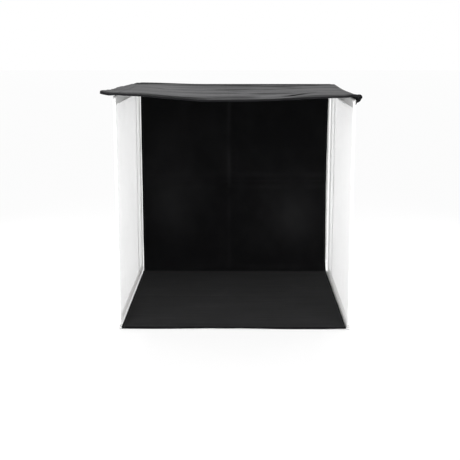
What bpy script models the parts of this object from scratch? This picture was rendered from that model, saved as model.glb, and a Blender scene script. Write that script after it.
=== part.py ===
"""Folding light tent cube with a hung black backdrop.

The tent stands on a stiff floor panel. Two side walls and a back wall are wire frames in cloth hems.
Each wall folds inwards about its lower edge, and they lie flat on each other: right, left, back.
The black cover hangs on the back wall's top edge and flips over behind it before the wall goes down.

Metres, +X to the right, +Y to the back, +Z up. The origin is the middle of the floor's underside.
"""
import math

import bmesh
import bpy
from mathutils import Vector

# Whole tent
INNER_WIDTH = 0.490
FLOOR_DEPTH = 0.500
BACK_WALL_SETBACK = 0.005
TIP_CLEARANCE = 0.002
LEFT_TOP_RISE = 0.004
SEAT_GAP = 0.0003
FOLD_CLEARANCE = 0.001

# Cloths, tapes and hems
NYLON_THICKNESS = 0.0005
DIFFUSER_THICKNESS = 0.0008
COVER_THICKNESS = 0.0012
BACKDROP_THICKNESS = 0.0012
TAPE_THICKNESS = 0.0009
TAPE_WIDTH = 0.020
HEM_THICKNESS = 0.0055
HEM_WIDTH = 0.011
TOP_HEM_WIDTH = 0.020
HEM_ROUNDING = 0.0022
HINGE_TAPE_HOLD = 0.010
TAPE_END_MARGIN = 0.003

# Spring wire and its crimped ferrule
WIRE_DIAMETER = 0.0024
WIRE_CORNER_RADIUS = 0.012
WIRE_INSET = 0.0035
WIRE_END_SPACE = 0.001
FERRULE_LENGTH = 0.030
FERRULE_WALL = 0.0004
FERRULE_CLEARANCE = 0.0003

# Floor panel
SLEEVE_THICKNESS = 0.004
SLEEVE_MARGIN = 0.0055
BOARD_THICKNESS = 0.0022
BOARD_MARGIN = 0.004
BINDING_THICKNESS = 0.0012
BINDING_ROUNDING = 0.0004

# Backdrop cloth
BACKDROP_SIDE_GAP = 0.003
BACKDROP_TOP_DROP = 0.001
BACKDROP_FRONT_MARGIN = 0.0012
BACKDROP_COVE_RADIUS = 0.006
BACKDROP_BILLOW = 0.0035
BACKDROP_CREASE = 0.0022
BACKDROP_FLOOR_CREASE = 0.0008
BACKDROP_CREASE_WIDTH = 0.012
BACKDROP_EDGE_WAVE = 0.0011
BACKDROP_CREASE_SHARE = 0.465

# Cover cloth
COVER_CLEARANCE = 0.0008
COVER_SAG = 0.002
COVER_RISE_LENGTH = 0.170
COVER_SIDE_MARGIN = 0.0015
COVER_AXIS_RISE = 0.001
COVER_AXIS_SETBACK = 0.001
COVER_HEM_HEIGHT = 0.0045
COVER_HEM_DEPTH = 0.0080
COVER_FOLD_DEPTH = 0.0026
COVER_FOLD_WIDTH = 0.016
COVER_HINGE_HOLD = 0.020
FLAP_LENGTH = 0.027
FLAP_BEND_LENGTH = 0.003
FLAP_SHOULDER = 0.0008
FLAP_TAPE_START = 0.005
FLAP_TAPE_GAP = 0.0005
FLAP_HANG = math.radians(85)
LEFT_FLAP_FRONT_ANGLE = math.radians(-14)
RIGHT_FLAP_FRONT_ANGLE = math.radians(10)

# Where along the floor's depth each flap starts and ends its turn to hanging
LEFT_FLAP_TURN_SHARES = (0.3, 1)
RIGHT_FLAP_TURN_SHARES = (0, 0.6)

# Folds of the cover: where along its depth, where across, half length, rise of the ends, depth.
# All are shares: of the floor's depth, of the cover's half width, of one full fold depth.
COVER_FOLD_SHARES = ((0.14, 0.15, 0.80, 0.10, 1.0), (0.33, 0.45, 0.45, 0.12, 0.9),
                     (0.58, -0.35, 0.55, 0.08, 0.7), (0.80, 0.25, 0.60, 0.06, 0.4))

# Mesh counts
WIRE_CORNER_STEPS = 5
BEND_STEPS = 4

# Levels and planes that follow from the sizes
SIDE_INNER_X = INNER_WIDTH / 2
WALL_BUILD = HEM_THICKNESS + SEAT_GAP + TAPE_THICKNESS
SIDE_OUTER_X = SIDE_INNER_X + WALL_BUILD
BACKDROP_WIDTH = INNER_WIDTH - 2 * BACKDROP_SIDE_GAP
FLOOR_FRONT_Y = -FLOOR_DEPTH / 2
FLOOR_BACK_Y = FLOOR_DEPTH / 2
BACK_WALL_INNER_Y = FLOOR_BACK_Y - BACK_WALL_SETBACK
BACKDROP_FLOOR_Z = SLEEVE_THICKNESS + SEAT_GAP + BACKDROP_THICKNESS / 2
BACKDROP_STANDOFF = SEAT_GAP + 2 * (TAPE_THICKNESS + SEAT_GAP)
BACKDROP_WALL_Y = BACK_WALL_INNER_Y - BACKDROP_STANDOFF - BACKDROP_THICKNESS / 2
SIDE_REAR_Y = BACKDROP_WALL_Y - BACKDROP_THICKNESS / 2 - FOLD_CLEARANCE
RIGHT_AXIS_Z = BACKDROP_FLOOR_Z + BACKDROP_THICKNESS / 2 + FOLD_CLEARANCE
LEFT_AXIS_Z = RIGHT_AXIS_Z + WALL_BUILD + FOLD_CLEARANCE
BACK_AXIS_Z = LEFT_AXIS_Z + WALL_BUILD + FOLD_CLEARANCE + BACKDROP_STANDOFF + BACKDROP_THICKNESS
RIGHT_TOP_Z = RIGHT_AXIS_Z + INNER_WIDTH - TIP_CLEARANCE
LEFT_TOP_Z = RIGHT_TOP_Z + LEFT_TOP_RISE
BACK_TOP_Z = RIGHT_TOP_Z
BACK_OUTER_Y = BACK_WALL_INNER_Y + HEM_THICKNESS
COVER_HALF = SIDE_INNER_X - COVER_SIDE_MARGIN
COVER_MID_Z = RIGHT_TOP_Z + COVER_CLEARANCE + COVER_THICKNESS / 2
COVER_TOP_Z = COVER_MID_Z + LEFT_TOP_RISE + COVER_THICKNESS / 2
COVER_BACK_Y = BACK_OUTER_Y - SEAT_GAP
FLAP_FLAT = SIDE_OUTER_X + FLAP_SHOULDER - COVER_HALF - SEAT_GAP
COVER_AXIS = Vector((0, BACK_OUTER_Y + COVER_AXIS_SETBACK, COVER_TOP_Z + COVER_AXIS_RISE))


def start_scene():
    """Removes what the file holds and adds one collection for the tent."""
    for old in list(bpy.data.objects):
        bpy.data.objects.remove(old, do_unlink=True)
    tent = bpy.data.collections.new("light_tent_cube")
    bpy.context.scene.collection.children.link(tent)
    return tent


TENT = start_scene()


def finish(name, colour, roughness, metallic=0.0):
    """A plain Principled material, colour in linear values."""
    made = bpy.data.materials.new(name)
    made.use_nodes = True
    shader = made.node_tree.nodes["Principled BSDF"]
    shader.inputs["Base Color"].default_value = (*colour, 1.0)
    shader.inputs["Roughness"].default_value = roughness
    shader.inputs["Metallic"].default_value = metallic
    made.diffuse_color = (*colour, 1.0)
    return made


def new_object(name, data, surface, parent):
    """Links an object with its own material, and hangs it on its body's empty."""
    made = bpy.data.objects.new(name, data)
    data.materials.append(surface)
    TENT.objects.link(made)
    made.parent = parent
    return made


def body_empty(name, place):
    """An empty on a joint's axis that carries the pieces of one moving body."""
    made = bpy.data.objects.new(name, None)
    made.location = place
    made.empty_display_size = HINGE_TAPE_HOLD
    TENT.objects.link(made)
    return made


def box(name, corner_a, corner_b, surface, parent, rounding=0.0):
    """A rectangular piece between two corners, with rounded edges where a radius is given."""
    low = Vector(map(min, corner_a, corner_b))
    high = Vector(map(max, corner_a, corner_b))
    form = bmesh.new()
    bmesh.ops.create_cube(form, size=1.0)
    bmesh.ops.scale(form, vec=high - low, verts=form.verts)
    mesh = bpy.data.meshes.new(name)
    form.to_mesh(mesh)
    form.free()
    made = new_object(name, mesh, surface, parent)
    made.location = (low + high) / 2 - parent.location
    if rounding:
        soften = made.modifiers.new("rounded_edges", "BEVEL")
        soften.width = rounding
        soften.segments = 2
    return made


def sleeve(name, corner_a, corner_b, run, open_sides, wall, rounding, surface, parent, mitre=None):
    """A cloth channel between two corners: a rounded tube along run, open at the named ends.

    mitre(place) says how far a point of an end is cut back along the run, for a slanted corner.
    """
    low = Vector(map(min, corner_a, corner_b))
    high = Vector(map(max, corner_a, corner_b))
    centre = (low + high) / 2
    form = bmesh.new()
    bmesh.ops.create_cube(form, size=1.0)
    bmesh.ops.scale(form, vec=high - low, verts=form.verts)
    long_edges = [edge for edge in form.edges
                  if abs((edge.verts[0].co - edge.verts[1].co).normalized()[run]) > 0.5]
    bmesh.ops.bevel(form, geom=long_edges, offset=rounding, segments=3, profile=0.5,
                    affect="EDGES")
    ends = [face for face in form.faces
            if any(face.normal[run] * side > 0.5 for side in open_sides)]
    bmesh.ops.delete(form, geom=ends, context="FACES_ONLY")
    if mitre:
        for vertex in form.verts:
            vertex.co[run] -= math.copysign(mitre(vertex.co + centre), vertex.co[run])
    mesh = bpy.data.meshes.new(name)
    form.to_mesh(mesh)
    form.free()
    made = new_object(name, mesh, surface, parent)
    made.location = centre - parent.location
    shell = made.modifiers.new("cloth", "SOLIDIFY")
    shell.thickness = wall
    shell.offset = -1
    shell.use_even_offset = True
    return made


def even_stops(low, high, count):
    """Evenly spaced places from low to high, in count steps."""
    return [low + (high - low) * step / count for step in range(count + 1)]


def creased_stops(low, high, count, creases, width):
    """Even places, and near each crease five close ones instead, so that its ridge has its shape."""
    close = [crease + width * step for crease in creases for step in (-2, -1, 0, 1, 2)]
    far = [stop for stop in even_stops(low, high, count)
           if stop in (low, high) or min(abs(stop - other) for other in close) > width]
    return sorted(far + [stop for stop in close if low < stop < high])


def sheet(name, across, along, place, thickness, surface, parent):
    """A cloth: a grid whose points a function sets, with its thickness about the middle.

    place(a, b) gives the world place for each a of the stops across and each b of those along.
    """
    form = bmesh.new()
    columns = len(across) - 1
    rows = len(along) - 1
    bmesh.ops.create_grid(form, x_segments=columns, y_segments=rows, size=0.5)
    for vertex in form.verts:
        column = round((vertex.co.x + 0.5) * columns)
        row = round((vertex.co.y + 0.5) * rows)
        vertex.co = Vector(place(across[column], along[row])) - parent.location
    mesh = bpy.data.meshes.new(name)
    form.to_mesh(mesh)
    form.free()
    mesh.shade_smooth()
    made = new_object(name, mesh, surface, parent)
    cloth = made.modifiers.new("cloth", "SOLIDIFY")
    cloth.thickness = thickness
    cloth.offset = 0
    return made


def channel(name, around, along, place, wall, surface, parent, mirrored=False):
    """A curved cloth channel with open ends: place(angle, v) gives a point of its outer skin.

    mirrored is for a channel that runs towards -X as v grows, whose faces then need turning round.
    """
    form = bmesh.new()
    bmesh.ops.create_cone(form, segments=around, radius1=1, radius2=1, depth=1, cap_ends=False)
    lines = [edge for edge in form.edges if abs(edge.verts[0].co.z - edge.verts[1].co.z) > 0.5]
    bmesh.ops.subdivide_edges(form, edges=lines, cuts=along - 1, use_grid_fill=True)
    for vertex in form.verts:
        angle = math.atan2(vertex.co.y, vertex.co.x)
        vertex.co = Vector(place(angle, vertex.co.z + 0.5)) - parent.location
    if mirrored:
        bmesh.ops.reverse_faces(form, faces=form.faces)
    mesh = bpy.data.meshes.new(name)
    form.to_mesh(mesh)
    form.free()
    mesh.shade_smooth()
    made = new_object(name, mesh, surface, parent)
    shell = made.modifiers.new("cloth", "SOLIDIFY")
    shell.thickness = wall
    shell.offset = -1
    return made


def wire(name, points, radius, surface, parent):
    """A bent wire with flat ends."""
    line = bpy.data.curves.new(name, "CURVE")
    line.dimensions = "3D"
    line.bevel_depth = radius
    line.bevel_resolution = 2
    line.use_fill_caps = True
    spline = line.splines.new("POLY")
    spline.points.add(len(points) - 1)
    for spot, point in zip(spline.points, points):
        spot.co = (*(Vector(point) - parent.location), 1)
    return new_object(name, line, surface, parent)


def ferrule(name, centre, run, surface, parent):
    """A short crimped tube round the two ends of a wire."""
    bore = WIRE_DIAMETER / 2 + FERRULE_CLEARANCE
    form = bmesh.new()
    bmesh.ops.create_cone(form, segments=16, radius1=bore + FERRULE_WALL, radius2=bore + FERRULE_WALL,
                          depth=FERRULE_LENGTH, cap_ends=False)
    mesh = bpy.data.meshes.new(name)
    form.to_mesh(mesh)
    form.free()
    mesh.shade_smooth()
    made = new_object(name, mesh, surface, parent)
    made.rotation_mode = "QUATERNION"
    made.rotation_quaternion = Vector(run).to_track_quat("Z", "Y")
    made.location = Vector(centre) - parent.location
    shell = made.modifiers.new("tube_wall", "SOLIDIFY")
    shell.thickness = FERRULE_WALL
    shell.offset = -1
    return made


WHITE_NYLON = finish("white_nylon", (0.86, 0.86, 0.85), 0.7)
DIFFUSER_NYLON = finish("translucent_white_nylon", (0.90, 0.90, 0.89), 0.6)
WHITE_TAPE = finish("white_hook_and_loop_tape", (0.82, 0.82, 0.81), 0.9)
BLACK_TAPE = finish("black_hook_and_loop_tape", (0.010, 0.010, 0.011), 0.9)
BLACK_CLOTH = finish("black_backdrop_cloth", (0.012, 0.012, 0.012), 0.9)
BLACK_NYLON = finish("black_nylon", (0.060, 0.060, 0.062), 0.55)
SPRING_STEEL = finish("spring_steel_wire", (0.45, 0.45, 0.47), 0.35, 1.0)
FERRULE_METAL = finish("crimped_aluminium", (0.70, 0.70, 0.71), 0.4, 1.0)
BOARD = finish("grey_board", (0.42, 0.40, 0.37), 0.85)

FLOOR = body_empty("floor_place", Vector((0, 0, 0)))
LEFT_WALL = body_empty("left_wall_axis", Vector((-SIDE_INNER_X, 0, LEFT_AXIS_Z)))
RIGHT_WALL = body_empty("right_wall_axis", Vector((SIDE_INNER_X, 0, RIGHT_AXIS_Z)))
BACK_WALL = body_empty("back_wall_axis", Vector((0, BACK_WALL_INNER_Y, BACK_AXIS_Z)))
COVER = body_empty("cover_axis", COVER_AXIS)


def floor_panel():
    """A stiff board in a white sleeve that is open at the back, with a bound front edge."""
    half = SIDE_INNER_X + SLEEVE_MARGIN
    sleeve("floor_sleeve", (-half, FLOOR_FRONT_Y, 0), (half, FLOOR_BACK_Y, SLEEVE_THICKNESS), 1, (1,),
           NYLON_THICKNESS, SLEEVE_THICKNESS / 3, WHITE_NYLON, FLOOR)
    board_half = half - BOARD_MARGIN
    low = (SLEEVE_THICKNESS - BOARD_THICKNESS) / 2
    box("floor_board", (-board_half, FLOOR_FRONT_Y + BOARD_MARGIN, low),
        (board_half, FLOOR_BACK_Y - BOARD_MARGIN, low + BOARD_THICKNESS), BOARD, FLOOR)
    front = FLOOR_FRONT_Y - SEAT_GAP
    box("floor_front_binding", (-half, front - BINDING_THICKNESS, 0),
        (half, front, SLEEVE_THICKNESS), WHITE_TAPE, FLOOR, BINDING_ROUNDING)


def wire_loop(low, high, level, spot):
    """Points of a rounded wire rectangle that starts and ends in the middle of its lower side."""
    radius = WIRE_CORNER_RADIUS
    middle = (low[0] + high[0]) / 2
    centres = ((high[0] - radius, low[1] + radius, -90), (high[0] - radius, high[1] - radius, 0),
               (low[0] + radius, high[1] - radius, 90), (low[0] + radius, low[1] + radius, 180))
    points = [(middle + WIRE_END_SPACE / 2, low[1])]
    for across, up, start in centres:
        for step in range(WIRE_CORNER_STEPS + 1):
            angle = math.radians(start + 90 * step / WIRE_CORNER_STEPS)
            points.append((across + radius * math.cos(angle), up + radius * math.sin(angle)))
    points.append((middle - WIRE_END_SPACE / 2, low[1]))
    return [spot(across, up, level) for across, up in points]


def framed_wall(prefix, edge_names, span, levels, spot, cloth_name, cloth_surface, parent):
    """One wall: a wire loop and its ferrule in four hems, with the cloth stretched between them.

    spot(across, z, out) gives a world place: across the wall, up, and out from its inner face.
    """
    near, far = span
    base_z, top_z = levels
    thick = HEM_THICKNESS
    middle = thick / 2
    upright = 2
    along = 0 if spot(1, 0, 0).x - spot(0, 0, 0).x > 0.5 else 1
    wire(f"{prefix}_wire_frame",
         wire_loop((near + WIRE_INSET, base_z + WIRE_INSET), (far - WIRE_INSET, top_z - WIRE_INSET),
                   middle, spot),
         WIRE_DIAMETER / 2, SPRING_STEEL, parent)
    run = spot(1, 0, 0) - spot(0, 0, 0)
    ferrule(f"{prefix}_wire_ferrule", spot((near + far) / 2, base_z + WIRE_INSET, middle), run,
            FERRULE_METAL, parent)
    hems = ((edge_names[0], near, near + HEM_WIDTH, base_z, top_z, upright),
            (edge_names[1], far - HEM_WIDTH, far, base_z, top_z, upright),
            ("bottom", near, far, base_z, base_z + HEM_WIDTH, along),
            ("top", near, far, top_z - TOP_HEM_WIDTH, top_z, along))

    def cut_upright(place):
        """The slant of an upright hem's end, steeper at the wide top hem."""
        inward = min(place[along] - near, far - place[along])
        wide = TOP_HEM_WIDTH if place.z > (base_z + top_z) / 2 else HEM_WIDTH
        return (inward + NYLON_THICKNESS) * wide / HEM_WIDTH + SEAT_GAP

    def cut_bottom(place):
        return place.z - base_z + NYLON_THICKNESS + SEAT_GAP

    def cut_top(place):
        return (top_z - place.z + NYLON_THICKNESS) * HEM_WIDTH / TOP_HEM_WIDTH + SEAT_GAP

    cuts = {"bottom": cut_bottom, "top": cut_top}
    for edge, side_a, side_b, low_z, high_z, direction in hems:
        sleeve(f"{prefix}_{edge}_hem", spot(side_a, low_z, 0), spot(side_b, high_z, thick), direction,
               (-1, 1), NYLON_THICKNESS, HEM_ROUNDING, WHITE_NYLON, parent,
               cuts.get(edge, cut_upright))
    seam = HEM_WIDTH + SEAT_GAP
    box(f"{prefix}_{cloth_name}",
        spot(near + seam, base_z + seam, middle - DIFFUSER_THICKNESS / 2),
        spot(far - seam, top_z - TOP_HEM_WIDTH - SEAT_GAP, middle + DIFFUSER_THICKNESS / 2),
        cloth_surface, parent)


def side_wall(prefix, side, levels, parent):
    """A side wall with its top tape and the cloth hinge along its lower edge."""
    def spot(across, up, out):
        return Vector((side * (SIDE_INNER_X + out), across, up))

    base_z, top_z = levels
    framed_wall(prefix, ("front", "rear"), (FLOOR_FRONT_Y, SIDE_REAR_Y), levels, spot,
                "diffuser", DIFFUSER_NYLON, parent)
    turn = TAPE_END_MARGIN
    face = HEM_THICKNESS + SEAT_GAP
    box(f"{prefix}_hook_tape", spot(FLOOR_FRONT_Y + turn, top_z - TAPE_WIDTH, face),
        spot(SIDE_REAR_Y - turn, top_z, face + TAPE_THICKNESS), WHITE_TAPE, parent)
    box(f"{prefix}_hinge_tape",
        spot(FLOOR_FRONT_Y + turn, SLEEVE_THICKNESS + SEAT_GAP, -SEAT_GAP - TAPE_THICKNESS),
        spot(SIDE_REAR_Y - turn, base_z + HINGE_TAPE_HOLD, -SEAT_GAP), WHITE_NYLON, FLOOR)


def back_wall():
    """The back wall with the tape pair that the backdrop hangs by, and its cloth hinge."""
    def spot(across, up, out):
        return Vector((across, BACK_WALL_INNER_Y + out, up))

    framed_wall("back", ("left", "right"), (-COVER_HALF, COVER_HALF), (BACK_AXIS_Z, BACK_TOP_Z), spot,
                "panel", WHITE_NYLON, BACK_WALL)
    half = BACKDROP_WIDTH / 2 - TAPE_END_MARGIN
    top = BACK_TOP_Z - BACKDROP_TOP_DROP
    face = -SEAT_GAP
    for name, surface in (("back_hook_tape", WHITE_TAPE), ("backdrop_loop_tape", BLACK_TAPE)):
        box(name, spot(-half, top - TAPE_WIDTH, face), spot(half, top, face - TAPE_THICKNESS),
            surface, BACK_WALL)
        face -= TAPE_THICKNESS + SEAT_GAP
    box("back_hinge_tape", spot(-half, SLEEVE_THICKNESS + SEAT_GAP, -SEAT_GAP),
        spot(half, BACK_AXIS_Z + HINGE_TAPE_HOLD, -SEAT_GAP - TAPE_THICKNESS), WHITE_NYLON, FLOOR)


def ridge(distance, width):
    """A soft crease line: 1 on the line, falling to 0 at about three widths from it."""
    return math.exp(-(distance / width) ** 2)


def backdrop():
    """One cloth: hung on the back wall, turned in a small cove and laid to the floor's front edge."""
    top = BACK_TOP_Z - BACKDROP_TOP_DROP
    radius = BACKDROP_COVE_RADIUS
    front = FLOOR_FRONT_Y + BACKDROP_FRONT_MARGIN
    hang = top - BACKDROP_FLOOR_Z - radius
    cove = radius * math.pi / 2
    lay = BACKDROP_WALL_Y - radius - front
    length = hang + cove + lay
    half = BACKDROP_WIDTH / 2
    crease_x = BACKDROP_WIDTH * (BACKDROP_CREASE_SHARE - 1 / 2)
    cross_creases = (length / 4, 3 * length / 4)

    def place(x, run):
        crease = ridge(x - crease_x, BACKDROP_CREASE_WIDTH)
        crease += sum(ridge(run - cross, BACKDROP_CREASE_WIDTH) for cross in cross_creases)
        crease *= BACKDROP_CREASE * math.cos(math.pi * x / BACKDROP_WIDTH)
        if run < hang:
            free = math.sin(math.pi * run / hang)
            swell = BACKDROP_BILLOW * free * math.sin(math.pi * x / half) ** 2
            return (x, BACKDROP_WALL_Y - free * crease - swell, top - run)
        if run < hang + cove:
            angle = (run - hang) / radius
            return (x, BACKDROP_WALL_Y - radius + radius * math.cos(angle),
                    BACKDROP_FLOOR_Z + radius - radius * math.sin(angle))
        reach = run - hang - cove
        wave = BACKDROP_EDGE_WAVE * math.sin(3 * math.pi * x / BACKDROP_WIDTH) * (reach / lay) ** 4
        lift = crease * BACKDROP_FLOOR_CREASE / BACKDROP_CREASE
        return (x, BACKDROP_WALL_Y - radius - reach + wave, BACKDROP_FLOOR_Z + lift)

    width = BACKDROP_CREASE_WIDTH
    across = creased_stops(-half, half, 10, (crease_x,), width)
    along = creased_stops(0, hang, 10, cross_creases[:1], width)
    along += even_stops(hang, hang + cove, BEND_STEPS)[1:-1]
    along += creased_stops(hang + cove, length, 10, cross_creases[1:], width)
    sheet("backdrop", across, along, place, BACKDROP_THICKNESS, BLACK_CLOTH, FLOOR)


def cover_drop(x, y):
    """How far the cover lies below its level: it sags in front, and rises to the left wall's top."""
    front_share = min(1, max(0, (FLOOR_BACK_Y - y) / FLOOR_DEPTH))
    forward = math.sin(front_share * math.pi / 2) ** 2
    sag = COVER_SAG * forward * (1 + math.cos(math.pi * x / COVER_HALF)) / 2
    inset = min(1, max(0, (x + COVER_HALF) / COVER_RISE_LENGTH))
    return sag - LEFT_TOP_RISE * (1 + math.cos(math.pi * inset)) / 2


def flap_angle(side, y):
    """How far a side flap hangs from level: it lifts towards the front and hangs at the back."""
    front = LEFT_FLAP_FRONT_ANGLE if side < 0 else RIGHT_FLAP_FRONT_ANGLE
    start, end = LEFT_FLAP_TURN_SHARES if side < 0 else RIGHT_FLAP_TURN_SHARES
    share = min(1, max(0, ((y - FLOOR_FRONT_Y) / FLOOR_DEPTH - start) / (end - start)))
    return front + (FLAP_HANG - front) * share * share * (3 - 2 * share)


def flap_point(side, y, reach, raise_by):
    """World place on a flap, reach metres out from its seam and raise_by above its middle."""
    seam = COVER_HALF + SEAT_GAP
    flat = FLAP_FLAT
    level = COVER_MID_Z + (LEFT_TOP_RISE if side < 0 else 0)
    if reach <= flat:
        return Vector((side * (seam + reach), y, level + raise_by))
    bend = min(reach - flat, FLAP_BEND_LENGTH)
    turned = flap_angle(side, y) * bend / FLAP_BEND_LENGTH
    chord = bend * math.sin(turned / 2) / (turned / 2) if turned else bend
    rest = reach - flat - bend
    across = seam + flat + chord * math.cos(turned / 2) + rest * math.cos(turned)
    down = chord * math.sin(turned / 2) + rest * math.sin(turned)
    across += raise_by * math.sin(turned)
    down -= raise_by * math.cos(turned)
    return Vector((side * across, y, level - down))


def flap_stops():
    """Reaches across a flap, with their own rows for the flat, the bend and the rest."""
    bend_end = FLAP_FLAT + FLAP_BEND_LENGTH
    return ([0, FLAP_FLAT / 2] + even_stops(FLAP_FLAT, bend_end, BEND_STEPS)
            + even_stops(bend_end, FLAP_FLAT + FLAP_LENGTH, 2)[1:])


def cover_folds(x, y):
    """Depth of the long smile-shaped folds that the sagging cover has."""
    depth = 0
    for y_share, x_share, half_share, rise_share, depth_share in COVER_FOLD_SHARES:
        away = (x / COVER_HALF - x_share) / half_share
        line = FLOOR_FRONT_Y + FLOOR_DEPTH * (y_share + rise_share * away ** 2)
        depth += depth_share * ridge(y - line, COVER_FOLD_WIDTH) * math.exp(-away ** 4)
    return COVER_FOLD_DEPTH * depth * math.cos(math.pi * x / COVER_HALF / 2)


def cover_panel():
    """The middle of the cover, between its two side folds."""
    def place(x, y):
        return (x, y, COVER_MID_Z - cover_drop(x, y) - cover_folds(x, y))

    sheet("cover_panel", even_stops(-COVER_HALF, COVER_HALF, 16), even_stops(FLOOR_FRONT_Y, COVER_BACK_Y, 33),
          place, COVER_THICKNESS, BLACK_NYLON, COVER)


def cover_front_hems():
    """The hem channel along the cover's front edge: its middle, and an open end on each flap."""
    centre_y = FLOOR_FRONT_Y - SEAT_GAP - COVER_HEM_DEPTH / 2
    below = COVER_HEM_HEIGHT / 2 - COVER_THICKNESS / 2

    def skin(angle, height, depth):
        """A softly squared outline about the channel's middle line."""
        share = (abs(math.cos(angle)) ** 4 + abs(math.sin(angle)) ** 4) ** -0.25
        return share * math.sin(angle) * height / 2, share * math.cos(angle) * depth / 2

    def middle(angle, v):
        x = COVER_HALF * (2 * v - 1)
        up, forward = skin(angle, COVER_HEM_HEIGHT, COVER_HEM_DEPTH)
        return (x, centre_y + forward, COVER_MID_Z - cover_drop(x, centre_y) - below + up)

    channel("cover_front_hem", 12, 24, middle, NYLON_THICKNESS, BLACK_NYLON, COVER)
    stops = flap_stops()
    for name, side in (("cover_left_hem_end", -1), ("cover_right_hem_end", 1)):
        def end(angle, v, side=side):
            up, forward = skin(angle, COVER_HEM_HEIGHT, COVER_HEM_DEPTH)
            reach = stops[round(v * (len(stops) - 1))]
            point = flap_point(side, FLOOR_FRONT_Y, reach, up - below)
            return (point.x, centre_y + forward, point.z)

        channel(name, 12, len(stops) - 1, end, NYLON_THICKNESS, BLACK_NYLON, COVER, side < 0)


def cover_flaps():
    """The two side flaps, each with a loop tape on its underside."""
    under = -(COVER_THICKNESS + TAPE_THICKNESS) / 2 - FLAP_TAPE_GAP
    tape_start = FLAP_FLAT + FLAP_TAPE_START
    rows = even_stops(FLOOR_FRONT_Y, COVER_BACK_Y, 18)
    for name, side in (("left", -1), ("right", 1)):
        def flap(reach, y, side=side):
            return flap_point(side, y, reach, 0)

        def tape(reach, y, side=side):
            return flap_point(side, y, reach, under)

        sheet(f"cover_{name}_flap", flap_stops(), rows, flap, COVER_THICKNESS, BLACK_NYLON, COVER)
        sheet(f"cover_{name}_loop_tape", even_stops(tape_start, tape_start + TAPE_WIDTH, 2), rows[1:-1],
              tape, TAPE_THICKNESS, BLACK_TAPE, COVER)


def cover_hinge():
    """The cloth strip that joins the cover's back edge to the back wall's top hem."""
    middle = BACK_OUTER_Y + SEAT_GAP + TAPE_THICKNESS / 2
    low = BACK_TOP_Z - COVER_HINGE_HOLD

    def place(x, share):
        high = COVER_MID_Z - cover_drop(x, COVER_BACK_Y) + COVER_THICKNESS / 2
        return (x, middle, low + (high - low) * share)

    sheet("cover_hinge_tape", even_stops(-COVER_HALF, COVER_HALF, 16), (0, 1), place, TAPE_THICKNESS,
          BLACK_NYLON, COVER)


floor_panel()
side_wall("left", -1, (LEFT_AXIS_Z, LEFT_TOP_Z), LEFT_WALL)
side_wall("right", 1, (RIGHT_AXIS_Z, RIGHT_TOP_Z), RIGHT_WALL)
back_wall()
backdrop()
cover_panel()
cover_front_hems()
cover_flaps()
cover_hinge()
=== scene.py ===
"""The looks of a folding light tent: its cloths, hems, tapes and seams, and plain studio light.

Everything is in metres in the frame's own axes: +X to the right, +Y to the back, +Z up.
"""
import math
from collections import namedtuple

import bmesh
import bpy
import numpy as np
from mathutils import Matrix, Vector, noise


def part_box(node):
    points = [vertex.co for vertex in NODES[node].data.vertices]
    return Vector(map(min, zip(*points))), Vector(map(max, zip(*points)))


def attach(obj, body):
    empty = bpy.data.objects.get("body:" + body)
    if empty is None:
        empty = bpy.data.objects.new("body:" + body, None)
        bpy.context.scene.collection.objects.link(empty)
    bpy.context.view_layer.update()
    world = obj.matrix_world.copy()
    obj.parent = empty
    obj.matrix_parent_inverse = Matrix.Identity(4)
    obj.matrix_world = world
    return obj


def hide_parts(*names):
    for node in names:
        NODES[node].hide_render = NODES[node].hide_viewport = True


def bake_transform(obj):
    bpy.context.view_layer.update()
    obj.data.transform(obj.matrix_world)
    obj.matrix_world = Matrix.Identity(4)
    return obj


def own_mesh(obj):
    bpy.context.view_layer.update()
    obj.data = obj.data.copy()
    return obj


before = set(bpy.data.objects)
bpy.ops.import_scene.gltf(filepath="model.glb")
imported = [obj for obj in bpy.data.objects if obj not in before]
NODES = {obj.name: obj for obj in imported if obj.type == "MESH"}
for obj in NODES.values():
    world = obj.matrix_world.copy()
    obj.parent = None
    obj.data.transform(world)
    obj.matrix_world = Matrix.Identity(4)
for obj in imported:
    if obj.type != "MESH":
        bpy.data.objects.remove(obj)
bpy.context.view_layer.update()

MM = 0.001

# Camera, from the lines of the tent's eight corners in the photograph's 460 by 460 frame
PHOTO_WIDTH = 460
FOCAL_PIXELS = 972
SENSOR = 36.0
CAMERA_PLACE = (0.0135, -2.2675, 0.6455)
CAMERA_TURN = (math.radians(78.08), math.radians(0.03), math.radians(0.63))

# Studio. Softboxes: name, place, aim, size, watts
WHITE = (1, 1, 1, 1)
WORLD_LIGHT = 0.78
TABLE_HALF = 12
TABLE_GLOW = 0.8
SOFTBOXES = (("front_softbox", (-0.5, -2.4, 1.7), (0, 0, 0.2), 1.6, 31),
             ("left_softbox", (-0.95, 0.45, 0.4), (-0.25, 0.2, 0.26), 0.5, 4.5),
             ("right_softbox", (0.95, 0.45, 0.4), (0.25, 0.2, 0.26), 0.5, 5.5),
             ("left_wall_fill", (0.95, -1.15, 0.35), (-0.25, 0.0, 0.24), 0.7, 6),
             ("right_wall_fill", (-0.95, -1.15, 0.35), (0.25, 0.0, 0.24), 0.7, 6))

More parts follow.
